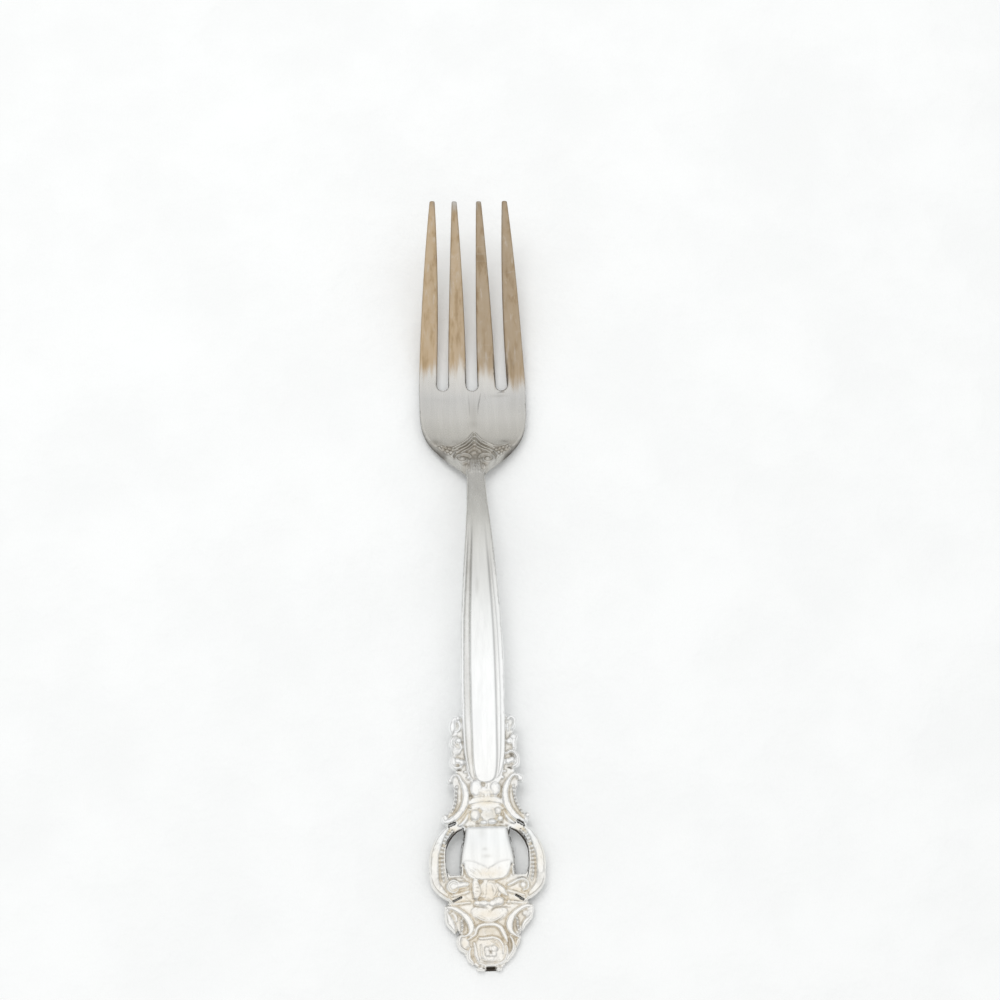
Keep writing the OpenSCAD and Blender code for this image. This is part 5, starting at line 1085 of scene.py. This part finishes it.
def shadesOf(plan, backStart, loops, outline, masks):
    # per point: hollows, crests, black tarnish with painted shade, and where the silver is warm, tan, or dull with
    # painted shade and reflections; the face's points come first
    x, y = plan[:backStart].T
    shades = {name: np.zeros(len(plan)) for name in ("crevice", "hollow", "crest", "soot")}
    shades["crevice"][:backStart] = readPlan(masks["fineHollow"], x, y)
    shades["hollow"][:backStart] = readPlan(masks["broadHollow"], x, y)
    shades["crest"][:backStart] = np.maximum(readPlan(masks["fineCrest"], x, y), readPlan(masks["broadCrest"], x, y))
    soot = shades["soot"]
    soot[:backStart] = readPlan(masks["soot"], x, y)
    start = 0
    for k, loop in enumerate(loops):
        ids = start + np.arange(len(loop))
        top, low = wallShade(*loop.T, k)
        soot[ids] = np.maximum(soot[ids], top)
        soot[ids + backStart] = low
        start += len(loop)
    soot[backStart:] = np.maximum(soot[backStart:], backShade(*plan[backStart:].T, outline))
    x, y = plan.T
    shades["patina"] = spotsAt(patinaSpots, np.abs(x), y)
    shades["golden"] = 1 - smoothStep(*tanShape["golden"], x)
    across, along, strength = tanShape["dullRight"]
    shades["dullshade"] = np.maximum(spotsAt(dullAndShadeSpots, x, y), strength * smoothStep(*across, x) * smoothStep(*along, y))
    shades["tarnish"] = tarnishAt(x, y)
    return shades


def makeFork():
    outline, face, masks = drawFork()
    print("fork: outline and triangles")
    loops = [cutAtSeams(thinned(loop, meshing["thinTolerance"], meshing["longestEdge"]))
             for loop in loopsOf(outline) if len(loop) > meshing["fewestPoints"]]
    loops.sort(key=len, reverse=True)
    edgeCount = sum(len(loop) for loop in loops)
    chains = seamChains(np.vstack(loops))
    plan, points, triangles = {}, {}, {}
    for side in ("front", "back"):
        plan[side], triangles[side] = triangulate(loops, chains, innerPoints(outline, loops, side == "front"))
        points[side] = sheetPoints(side, outline, face, plan[side], edgeCount)
    backStart = len(points["front"])
    allPoints = np.vstack([points["front"], points["back"]])
    allPlan = np.vstack([plan["front"], plan["back"]])
    # walls between the two sheets, along every loop
    walls, start = [], 0
    for loop in loops:
        i = start + np.arange(len(loop))
        j = start + (np.arange(len(loop)) + 1) % len(loop)
        walls += [np.stack([i + backStart, j + backStart, j], 1), np.stack([i + backStart, j, i], 1)]
        start += len(loop)
    faces = np.vstack([triangles["front"], triangles["back"][:, ::-1] + backStart] + walls)
    normals = meanNormals(allPoints, faces)
    middles = allPlan[faces].mean(1)
    owner = regionOf(*middles.T)
    shades = shadesOf(allPlan, backStart, loops, outline, masks)
    caps = {}
    start = edgeCount
    for a, b, row in chains:
        ids = np.array([a] + list(range(start, start + len(row))) + [b])
        start += len(row)
        i, j = ids[:-1], ids[1:]
        cap = np.vstack([np.stack([i + backStart, i, j], 1), np.stack([i + backStart, j, j + backStart], 1)])
        x, y = allPlan[ids].mean(0)
        caps.setdefault(int(regionOf(x, y - 0.01)), []).append(cap)
        caps.setdefault(int(regionOf(x, y + 0.01)), []).append(cap[:, ::-1])
    print("fork: sheets of", {side: len(triangles[side]) for side in triangles}, "triangles,", len(loops), "loops")
    made = {}
    for k, name in enumerate(regions + tineNames):
        smooth = faces[owner == k]
        capped = np.vstack(caps[k])
        made[name] = addMesh(name, allPoints, np.vstack([smooth, capped]), len(smooth), normals, shades)
    return made


def addObject(name, data):
    made = bpy.data.objects.new(name, data)
    bpy.context.collection.objects.link(made)
    return made


def addMesh(name, points, faces, smoothCount, normals, shades):
    # the first faces are shaded smooth with the given normals, and the caps at the seams after them are flat
    used, local = np.unique(faces, return_inverse=True)
    local = local.reshape(-1, 3)
    mesh = bpy.data.meshes.new(name)
    mesh.vertices.add(len(used))
    mesh.vertices.foreach_set("co", points[used].ravel())
    mesh.loops.add(local.size)
    mesh.loops.foreach_set("vertex_index", local.ravel())
    mesh.polygons.add(len(local))
    mesh.polygons.foreach_set("loop_start", np.arange(0, local.size, 3))
    mesh.update(calc_edges=True)
    mesh.shade_smooth()
    a, b, c = (points[faces[smoothCount:, k]] for k in range(3))
    flat = np.cross(b - a, c - a)
    flat /= np.maximum(np.linalg.norm(flat, axis=1), 1e-20)[:, None]
    corners = np.vstack([normals[faces[:smoothCount].ravel()], np.repeat(flat, 3, 0)])
    mesh.normals_split_custom_set(corners.tolist())
    for label, values in shades.items():
        mesh.attributes.new(label, "FLOAT", "POINT").data.foreach_set("value", values[used].astype(np.float32))
    return addObject(name, mesh)


# shader groups and materials
def addNode(tree, kind, values=None, **settings):
    # values go to the node's inputs, as links where they are another node's outputs
    made = tree.nodes.new("ShaderNode" + kind)
    for key, value in settings.items():
        setattr(made, key, value)
    for key, value in (values or {}).items():
        if isinstance(value, bpy.types.NodeSocket):
            tree.links.new(value, made.inputs[key])
        else:
            made.inputs[key].default_value = value
    return made


def mathNode(tree, operation, *values):
    return addNode(tree, "Math", dict(enumerate(values)), operation=operation).outputs[0]


def times(tree, a, b):
    return mathNode(tree, "MULTIPLY", a, b)


def plus(tree, a, b):
    return mathNode(tree, "ADD", a, b)


def attribute(tree, name):
    return addNode(tree, "Attribute", attribute_name=name).outputs["Fac"]


def rangeNode(tree, value, low, high, to0=0.0, to1=1.0):
    # smooth step from one range to another
    ends = {"From Min": low, "From Max": high, "To Min": to0, "To Max": to1}
    return addNode(tree, "MapRange", {"Value": value, **ends}, interpolation_type="SMOOTHSTEP").outputs[0]


def mixColours(tree, factor, a, b, blend="MIX"):
    made = addNode(tree, "Mix", data_type="RGBA", blend_type=blend)
    for socket, value in zip((made.inputs[0], made.inputs[6], made.inputs[7]), (factor, a, b)):
        if isinstance(value, bpy.types.NodeSocket):
            tree.links.new(value, socket)
        else:
            socket.default_value = value
    return made.outputs[2]


def noiseNode(tree, scale, stretch=(1, 1, 1), detail=3, roughness=0.5, distortion=0.0):
    place = addNode(tree, "TexCoord").outputs["Object"]
    mapped = addNode(tree, "Mapping", {"Vector": place, "Scale": stretch}).outputs[0]
    return addNode(tree, "TexNoise", {"Vector": mapped, "Scale": scale, "Detail": detail, "Roughness": roughness,
                                      "Distortion": distortion}).outputs["Fac"]


def newGroup(name, inputs, outputs):
    group = bpy.data.node_groups.new(name, "ShaderNodeTree")
    for label, value in inputs.items():
        group.interface.new_socket(label, in_out="INPUT", socket_type="NodeSocketFloat").default_value = value
    for label, kind in outputs.items():
        group.interface.new_socket(label, in_out="OUTPUT", socket_type="NodeSocket" + kind)
    return group, group.nodes.new("NodeGroupInput").outputs, group.nodes.new("NodeGroupOutput").inputs


def fillRamp(ramp, rows):
    stops = ramp.color_ramp.elements
    for k, (place, colour) in enumerate(rows):
        stop = stops[k] if k < 2 else stops.new(place)
        stop.position = place
        stop.color = [*colour, 1]


# y, and there the colours of clean plate, of the warm film and of the dark one; the darker palm and neck are partly a
# painted reflection
plateAndReflectionTones = [
    (-95, (0.93, 0.915, 0.885), (0.82, 0.745, 0.62), (0.49, 0.43, 0.34)),
    (-75, (0.93, 0.92, 0.89), (0.82, 0.745, 0.62), (0.49, 0.43, 0.34)),
    (-66, (0.89, 0.905, 0.905), (0.83, 0.765, 0.64), (0.47, 0.42, 0.35)),
    (-58, (0.93, 0.93, 0.92), (0.83, 0.765, 0.64), (0.46, 0.42, 0.36)),
    (-46, (0.925, 0.93, 0.925), (0.8, 0.755, 0.67), (0.46, 0.43, 0.38)),
    (-38, (0.93, 0.94, 0.94), (0.76, 0.75, 0.71), (0.44, 0.42, 0.37)),
    (-27, (0.93, 0.94, 0.94), (0.72, 0.71, 0.67), (0.4, 0.38, 0.34)),
    (-12, (0.82, 0.83, 0.82), (0.6, 0.58, 0.53), (0.34, 0.32, 0.28)),
    (-2, (0.71, 0.71, 0.695), (0.52, 0.5, 0.45), (0.28, 0.26, 0.23)),
    (12, (0.64, 0.635, 0.6), (0.46, 0.43, 0.37), (0.22, 0.2, 0.17)),
    (24, (0.6, 0.59, 0.56), (0.43, 0.39, 0.33), (0.2, 0.175, 0.135)),
    (36, (0.575, 0.56, 0.52), (0.42, 0.385, 0.33), (0.2, 0.18, 0.14)),
    (46, (0.575, 0.57, 0.555), (0.45, 0.35, 0.24), (0.22, 0.18, 0.13)),
    (54, (0.7, 0.68, 0.64), (0.425, 0.325, 0.215), (0.2, 0.15, 0.1)),
]


def makePlateAndReflectionTone():
    # the plate whitens from the dull palm to the bright stem, partly duller metal and partly a painted darker
    # reflection on the palm and neck, and the films on it follow
    group, _, out = newGroup("plateAndReflectionTone", {}, {"Plate": "Color", "Film": "Color", "Dark": "Color"})
    y = addNode(group, "SeparateXYZ", {0: addNode(group, "TexCoord").outputs["Object"]}).outputs[1]
    low, high = plateAndReflectionTones[0][0], plateAndReflectionTones[-1][0]
    share = addNode(group, "MapRange", {"Value": y, "From Min": low * mm, "From Max": high * mm}).outputs[0]
    for k, label in enumerate(("Plate", "Film", "Dark")):
        ramp = addNode(group, "ValToRGB", {0: share})
        fillRamp(ramp, [((row[0] - low) / (high - low), row[1 + k]) for row in plateAndReflectionTones])
        group.links.new(ramp.outputs[0], out[label])
    return group


# film of tarnish: its patches, how hollows count, what each mask has even where no patch is, and its range
film = {
    "patchScale": 260, "patchShare": 0.75, "grainScale": 1500, "grainShare": 0.5,
    "crevice": 0.5, "hollow": 0.7, "warmHollow": 0.7, "crestLoss": 0.12,
    "darkLeast": 0.45, "warmLeast": 0.35, "dirtShadeLeast": 0.55,
    "dark": (0.1, 0.85), "warm": (0.06, 0.85), "rubbed": (0.15, 0.7), "dirtShade": (0.02, 0.95),
}


def makeSilverFilm():
    # dark film in the recesses, a warm one where the plate has turned, black dirt with painted shade in the deepest
    # and shaded places, and rubbed crests
    inputs = {"Crevice": 0, "Hollow": 0, "Crest": 0, "Patina": 0, "Soot": 0, "Reach": 1}
    group, given, out = newGroup("silverFilm", inputs, {name: "Float" for name in ("Dark", "Warm", "Rubbed", "DirtShade")})
    broad = noiseNode(group, film["patchScale"], detail=4, roughness=0.6)
    fine = noiseNode(group, film["grainScale"], detail=3, roughness=0.6)
    patchy = plus(group, times(group, broad, film["patchShare"]), times(group, fine, film["grainShare"]))
    depth = plus(group, times(group, given["Crevice"], film["crevice"]), times(group, given["Hollow"], film["hollow"]))
    reached = times(group, times(group, depth, given["Reach"]), plus(group, patchy, film["darkLeast"]))
    group.links.new(rangeNode(group, reached, *film["dark"]), out["Dark"])
    around = plus(group, given["Patina"], times(group, depth, film["warmHollow"]))
    warm = mathNode(group, "SUBTRACT", times(group, around, plus(group, patchy, film["warmLeast"])),
                    times(group, given["Crest"], film["crestLoss"]))
    group.links.new(rangeNode(group, warm, *film["warm"]), out["Warm"])
    group.links.new(rangeNode(group, given["Crest"], *film["rubbed"]), out["Rubbed"])
    cakedAndShaded = times(group, given["Soot"], plus(group, patchy, film["dirtShadeLeast"]))
    group.links.new(rangeNode(group, cakedAndShaded, *film["dirtShade"]), out["DirtShade"])
    return group


# marks of the table: noise scales, stretches, the range that shows, and heights
tableMarks = {
    "alongScale": 900, "alongStretch": (1, 0.05, 1), "along": (0.56, 0.74),
    "acrossScale": 1100, "acrossStretch": (0.09, 1, 1), "across": (0.6, 0.78), "acrossShare": 0.6,
    "pitScale": 2600, "pits": (0.66, 0.78), "waveScale": 150, "waves": 4.0, "scratchDepth": -0.5, "pitDepth": -0.4,
}


def makeTableWear():
    # hairline scratches along and across, soft pits and a faint waviness of the plate
    group, given, out = newGroup("tableWear", {"Amount": 1}, {"Mask": "Float", "Height": "Float"})
    look = tableMarks
    along = rangeNode(group, noiseNode(group, look["alongScale"], look["alongStretch"], 2, 0.6), *look["along"])
    across = rangeNode(group, noiseNode(group, look["acrossScale"], look["acrossStretch"], 2, 0.6, 0.15),
                       *look["across"])
    pits = rangeNode(group, noiseNode(group, look["pitScale"], detail=1), *look["pits"])
    marks = mathNode(group, "MAXIMUM", along, times(group, across, look["acrossShare"]))
    group.links.new(times(group, marks, given["Amount"]), out["Mask"])
    waves = times(group, noiseNode(group, look["waveScale"], detail=1), look["waves"])
    dents = plus(group, times(group, marks, look["scratchDepth"]), times(group, pits, look["pitDepth"]))
    group.links.new(plus(group, waves, times(group, dents, given["Amount"])), out["Height"])
    return group


streaking = {"scale": 600, "stretch": (1, 0.07, 1), "detail": 4, "roughness": 0.65}


def makeBrushing():
    # streaks along the fork, as polishing and years of use leave them
    group, given, out = newGroup("brushing", {"Scale": streaking["scale"]}, {"Streaks": "Float"})
    streaks = noiseNode(group, given["Scale"], streaking["stretch"], streaking["detail"], streaking["roughness"])
    group.links.new(streaks, out["Streaks"])
    return group


# columns in which the tan starts, and over which range of them it is full, covers the plate and turns brown
tanLook = {
    "scale": 620, "stretch": (1, 0.035, 1), "detail": 3, "roughness": 0.6, "middle": 0.5, "full": (0.15, 0.95),
    "cover": (0.3, 0.7, 0.86, 1.0), "brown": (0.5, 0.72, 0.0, 0.8),
}


def makeTanTarnish():
    # tan that starts in ragged columns: where it is full, how thickly it covers, and its browner streaks
    group, given, out = newGroup("tanTarnish", {"Turned": 0, "Wander": 1.5},
                                 {name: "Float" for name in ("Full", "Cover", "Brown")})
    columns = noiseNode(group, *(tanLook[name] for name in ("scale", "stretch", "detail", "roughness")))
    wander = times(group, mathNode(group, "SUBTRACT", columns, tanLook["middle"]), given["Wander"])
    full = rangeNode(group, plus(group, given["Turned"], wander), *tanLook["full"])
    cover = times(group, full, rangeNode(group, columns, *tanLook["cover"]))
    brown = times(group, full, rangeNode(group, columns, *tanLook["brown"]))
    for label, socket in (("Full", full), ("Cover", cover), ("Brown", brown)):
        group.links.new(socket, out[label])
    return group


# per piece: how far the dark film reaches, roughness, share of the table's marks, bump, and the tan's raggedness
finishes = {
    "handle": {"reach": 0.7, "roughness": 0.2, "worn": 0.5, "bump": 0.08},
    "stem": {"reach": 0.8, "roughness": 0.21, "worn": 1.0, "bump": 0.05},
    "neck": {"reach": 0.9, "roughness": 0.24, "worn": 1.0, "bump": 0.055},
    "palm": {"reach": 1.0, "roughness": 0.27, "worn": 1.0, "bump": 0.07, "tanWander": 1.5},
    "tines": {"reach": 1.0, "roughness": 0.3, "worn": 1.0, "bump": 0.09, "tanWander": 1.5},
}
# the near-black dirt colour paints shade as well as dirt, and the dull grey paints shade and reflections as well as
# dull metal
colours = {"dullshade": (0.66, 0.65, 0.63, 1), "dirtShade": (0.03, 0.021, 0.013, 1), "streak": (0.74, 0.71, 0.66, 1),
           "golden": (0.51, 0.385, 0.245, 1)}
# how much brushing, scratches, film, and dirt with painted shade change the plate's colour, metal and roughness
surface = {
    "brushed": (0.38, 0.62, 0.93, 1.0), "scratchShine": 0.25, "rubShine": 0.45, "filmMatt": 0.45, "dirtShadeMatt": 0.9,
    "warmRough": 0.08, "buriedRough": 0.5, "markRough": 0.06, "streakRange": (0.35, 0.65), "roughSpread": 0.05,
    "streakHeight": 0.6, "bumpDepth": 0.00008,
}


def silverMaterial(name, groups):
    finish = finishes[name]
    tarnished = "tanWander" in finish
    material = bpy.data.materials.new(name + "Silver")
    material.use_nodes = True
    tree = material.node_tree
    shader = tree.nodes["Principled BSDF"]
    shades = {label.capitalize(): attribute(tree, label) for label in ("crevice", "hollow", "crest", "patina", "soot")}
    filmOut = addNode(tree, "Group", {**shades, "Reach": finish["reach"]}, node_tree=groups["film"]).outputs
    wearOut = addNode(tree, "Group", {"Amount": finish["worn"]}, node_tree=groups["wear"]).outputs
    tone = addNode(tree, "Group", node_tree=groups["tone"]).outputs
    streaks = addNode(tree, "Group", node_tree=groups["brushing"]).outputs["Streaks"]
    dark, warm, dirtShade = (filmOut[label] for label in ("Dark", "Warm", "DirtShade"))
    # colour, from the clean plate to the dirt and painted shade on it
    plate = mixColours(tree, 1.0, tone["Plate"], rangeNode(tree, streaks, *surface["brushed"]), "MULTIPLY")
    filmColour = tone["Film"]
    if tarnished:
        given = {"Turned": attribute(tree, "tarnish"), "Wander": finish["tanWander"]}
        full, cover, brown = addNode(tree, "Group", given, node_tree=groups["tan"]).outputs
        warm = mathNode(tree, "MAXIMUM", warm, cover)
        golden = times(tree, full, attribute(tree, "golden"))
        filmColour = mixColours(tree, golden, filmColour, colours["golden"])
    filmed = mixColours(tree, warm, plate, filmColour)
    filmed = mixColours(tree, attribute(tree, "dullshade"), filmed, colours["dullshade"], "MULTIPLY")
    if tarnished:
        filmed = mixColours(tree, brown, filmed, colours["streak"], "MULTIPLY")
    marked = mixColours(tree, times(tree, wearOut["Mask"], surface["scratchShine"]), filmed, tone["Plate"])
    deep = mixColours(tree, dark, marked, tone["Dark"])
    rubbed = mixColours(tree, times(tree, filmOut["Rubbed"], surface["rubShine"]), deep, tone["Plate"])
    if tarnished:
        rubbed = mixColours(tree, full, rubbed, deep)
    tree.links.new(mixColours(tree, dirtShade, rubbed, colours["dirtShade"]), shader.inputs["Base Color"])
    # metal, roughness and bump
    buried = mathNode(tree, "MAXIMUM", times(tree, dark, surface["filmMatt"]), times(tree, dirtShade, surface["dirtShadeMatt"]))
    tree.links.new(mathNode(tree, "SUBTRACT", 1.0, buried), shader.inputs["Metallic"])
    dulled = plus(tree, times(tree, warm, surface["warmRough"]), times(tree, buried, surface["buriedRough"]))
    low, high = finish["roughness"] - surface["roughSpread"], finish["roughness"] + surface["roughSpread"]
    grained = plus(tree, rangeNode(tree, streaks, *surface["streakRange"], low, high), dulled)
    scored = times(tree, wearOut["Mask"], surface["markRough"])
    tree.links.new(plus(tree, grained, scored), shader.inputs["Roughness"])
    height = plus(tree, wearOut["Height"], times(tree, streaks, surface["streakHeight"]))
    bump = addNode(tree, "Bump", {"Height": height, "Strength": finish["bump"], "Distance": surface["bumpDepth"]})
    tree.links.new(bump.outputs[0], shader.inputs["Normal"])
    return material


# which CAD nodes each piece stands for; a tine stands for the node of its own name
replaced = {
    "handle": ["handle_plate", "crest_scrolls_left", "crest_scrolls_right", "collar_leaf", "collar_band",
               "collar_flower", "shoulder_scroll_left", "shoulder_scroll_right", "shoulder_beads_left",
               "shoulder_beads_right", "frame_arm_left", "frame_arm_right", "arm_beads_left", "arm_beads_right",
               "cartouche", "cartouche_calyx", "volute_left", "volute_right", "lower_blossom", "swag_leaves",
               "end_scroll_left", "end_scroll_right", "end_beads_left", "end_beads_right", "end_leaf_left",
               "end_leaf_right", "rose_hood", "rose_leaf_left", "rose_leaf_right", "rose_outer_petals",
               "rose_inner_petals", "rose_heart", "end_tip"],
    "stem": ["stem", "stem_panel", "stem_border_left", "stem_border_right"],
    "neck": ["neck"],
    "palm": ["palm", "heel_ogee", "heel_ribs", "heel_scroll_left", "heel_scroll_right", "heel_leaf_left",
             "heel_leaf_right"],
}

groups = {"film": makeSilverFilm(), "wear": makeTableWear(), "brushing": makeBrushing(), "tone": makePlateAndReflectionTone(),
          "tan": makeTanTarnish()}
silvers = {name: silverMaterial(name, groups) for name in finishes}
pieces = makeFork()
for name, piece in pieces.items():
    piece.data.materials.append(silvers[name if name in silvers else "tines"])
    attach(piece, "root")
    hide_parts(*replaced.get(name, [name]))
print("fork:", len(pieces), "pieces")

# cloth under the fork
cloth = {
    "size": 8.0, "below": 0.01, "colour": (0.885, 0.895, 0.895, 1), "shade": (0.85, 0.86, 0.86, 1), "specular": 0.1,
    "mottleScale": 28, "mottle": (0.3, 0.7), "weaveScale": 1700, "weaveRough": (0.2, 0.8, 0.9, 1.0),
    "mottleHeight": 4.0, "weaveHeight": 0.3, "bump": 0.25, "bumpDepth": 0.0006,
}


def makeCloth():
    half = cloth["size"] / 2
    mesh = bpy.data.meshes.new("cloth")
    mesh.from_pydata([(-half, -half, 0), (half, -half, 0), (half, half, 0), (-half, half, 0)], [], [(0, 1, 2, 3)])
    floor = addObject("cloth", mesh)
    floor.location.z = -cloth["below"] * mm
    material = bpy.data.materials.new("paleCloth")
    material.use_nodes = True
    tree = material.node_tree
    shader = tree.nodes["Principled BSDF"]
    mottle = rangeNode(tree, noiseNode(tree, cloth["mottleScale"], detail=5, roughness=0.6), *cloth["mottle"])
    weave = noiseNode(tree, cloth["weaveScale"], detail=2)
    tree.links.new(mixColours(tree, mottle, cloth["shade"], cloth["colour"]), shader.inputs["Base Color"])
    tree.links.new(rangeNode(tree, weave, *cloth["weaveRough"]), shader.inputs["Roughness"])
    shader.inputs["Specular IOR Level"].default_value = cloth["specular"]
    height = plus(tree, times(tree, mottle, cloth["mottleHeight"]), times(tree, weave, cloth["weaveHeight"]))
    bump = addNode(tree, "Bump", {"Height": height, "Strength": cloth["bump"], "Distance": cloth["bumpDepth"]})
    tree.links.new(bump.outputs[0], shader.inputs["Normal"])
    mesh.materials.append(material)


# soft studio: a pale dome that is brightest overhead, and one large lamp from the upper left; a colour ramp ends at
# 1, so the stops are divided by a ceiling, and the dome's strength is multiplied by it
studio = {
    "skyStops": [(0.0, 0.55), (0.3, 0.66), (0.58, 0.84), (0.8, 1.01), (0.92, 1.12), (1.0, 1.14)],
    "tint": (1.0, 1.0, 0.995), "strength": 0.96, "ceiling": 1.2,
    "lampPlace": (-0.2, 0.3, 1.1), "lampSize": 0.62, "lampPower": 3.4,
}


def makeStudio():
    world = bpy.data.worlds.new("studio")
    bpy.context.scene.world = world
    world.use_nodes = True
    tree = world.node_tree
    background = tree.nodes["Background"]
    up = addNode(tree, "SeparateXYZ", {0: addNode(tree, "TexCoord").outputs["Generated"]}).outputs[2]
    ramp = addNode(tree, "ValToRGB", {0: up})
    ceiling = studio["ceiling"]
    fillRamp(ramp, [(place, [level * c / ceiling for c in studio["tint"]]) for place, level in studio["skyStops"]])
    tree.links.new(ramp.outputs[0], background.inputs["Color"])
    background.inputs["Strength"].default_value = studio["strength"] * ceiling
    lamp = bpy.data.lights.new("lamp", "AREA")
    lamp.shape = "DISK"
    lamp.size = studio["lampSize"]
    lamp.energy = studio["lampPower"]
    holder = addObject("lamp", lamp)
    holder.location = studio["lampPlace"]
    holder.rotation_euler = (-Vector(studio["lampPlace"])).to_track_quat("-Z", "Y").to_euler()
    holder.visible_glossy = False
    bpy.context.scene.view_settings.view_transform = "Standard"


# camera: it leans to the handle's side of plumb and is turned a little, as the photograph was taken
viewpoint = {"tilt": 22.044, "turn": -9.089, "roll": 7.686, "position": (-22.31, -158.44, 444.66), "lens": 69.757,
             "sensor": 36.0}


def makeCamera():
    tilt, turn, roll = (math.radians(viewpoint[key]) for key in ("tilt", "turn", "roll"))
    back = Vector((math.sin(tilt) * math.sin(turn), -math.sin(tilt) * math.cos(turn), math.cos(tilt)))
    right = Vector((0, 0, 1)).cross(back).normalized()
    up = back.cross(right)
    turnedRight = right * math.cos(roll) + up * math.sin(roll)
    turnedUp = up * math.cos(roll) - right * math.sin(roll)
    data = bpy.data.cameras.new("camera")
    data.lens, data.sensor_width = viewpoint["lens"], viewpoint["sensor"]
    data.clip_start, data.clip_end = 0.01, 50
    camera = addObject("camera", data)
    facing = Matrix((turnedRight, turnedUp, back)).transposed().to_4x4()
    camera.matrix_world = Matrix.Translation(Vector(viewpoint["position"]) * mm) @ facing
    bpy.context.scene.camera = camera


makeCloth()
makeStudio()
makeCamera()
print("scene: cloth, studio and camera")
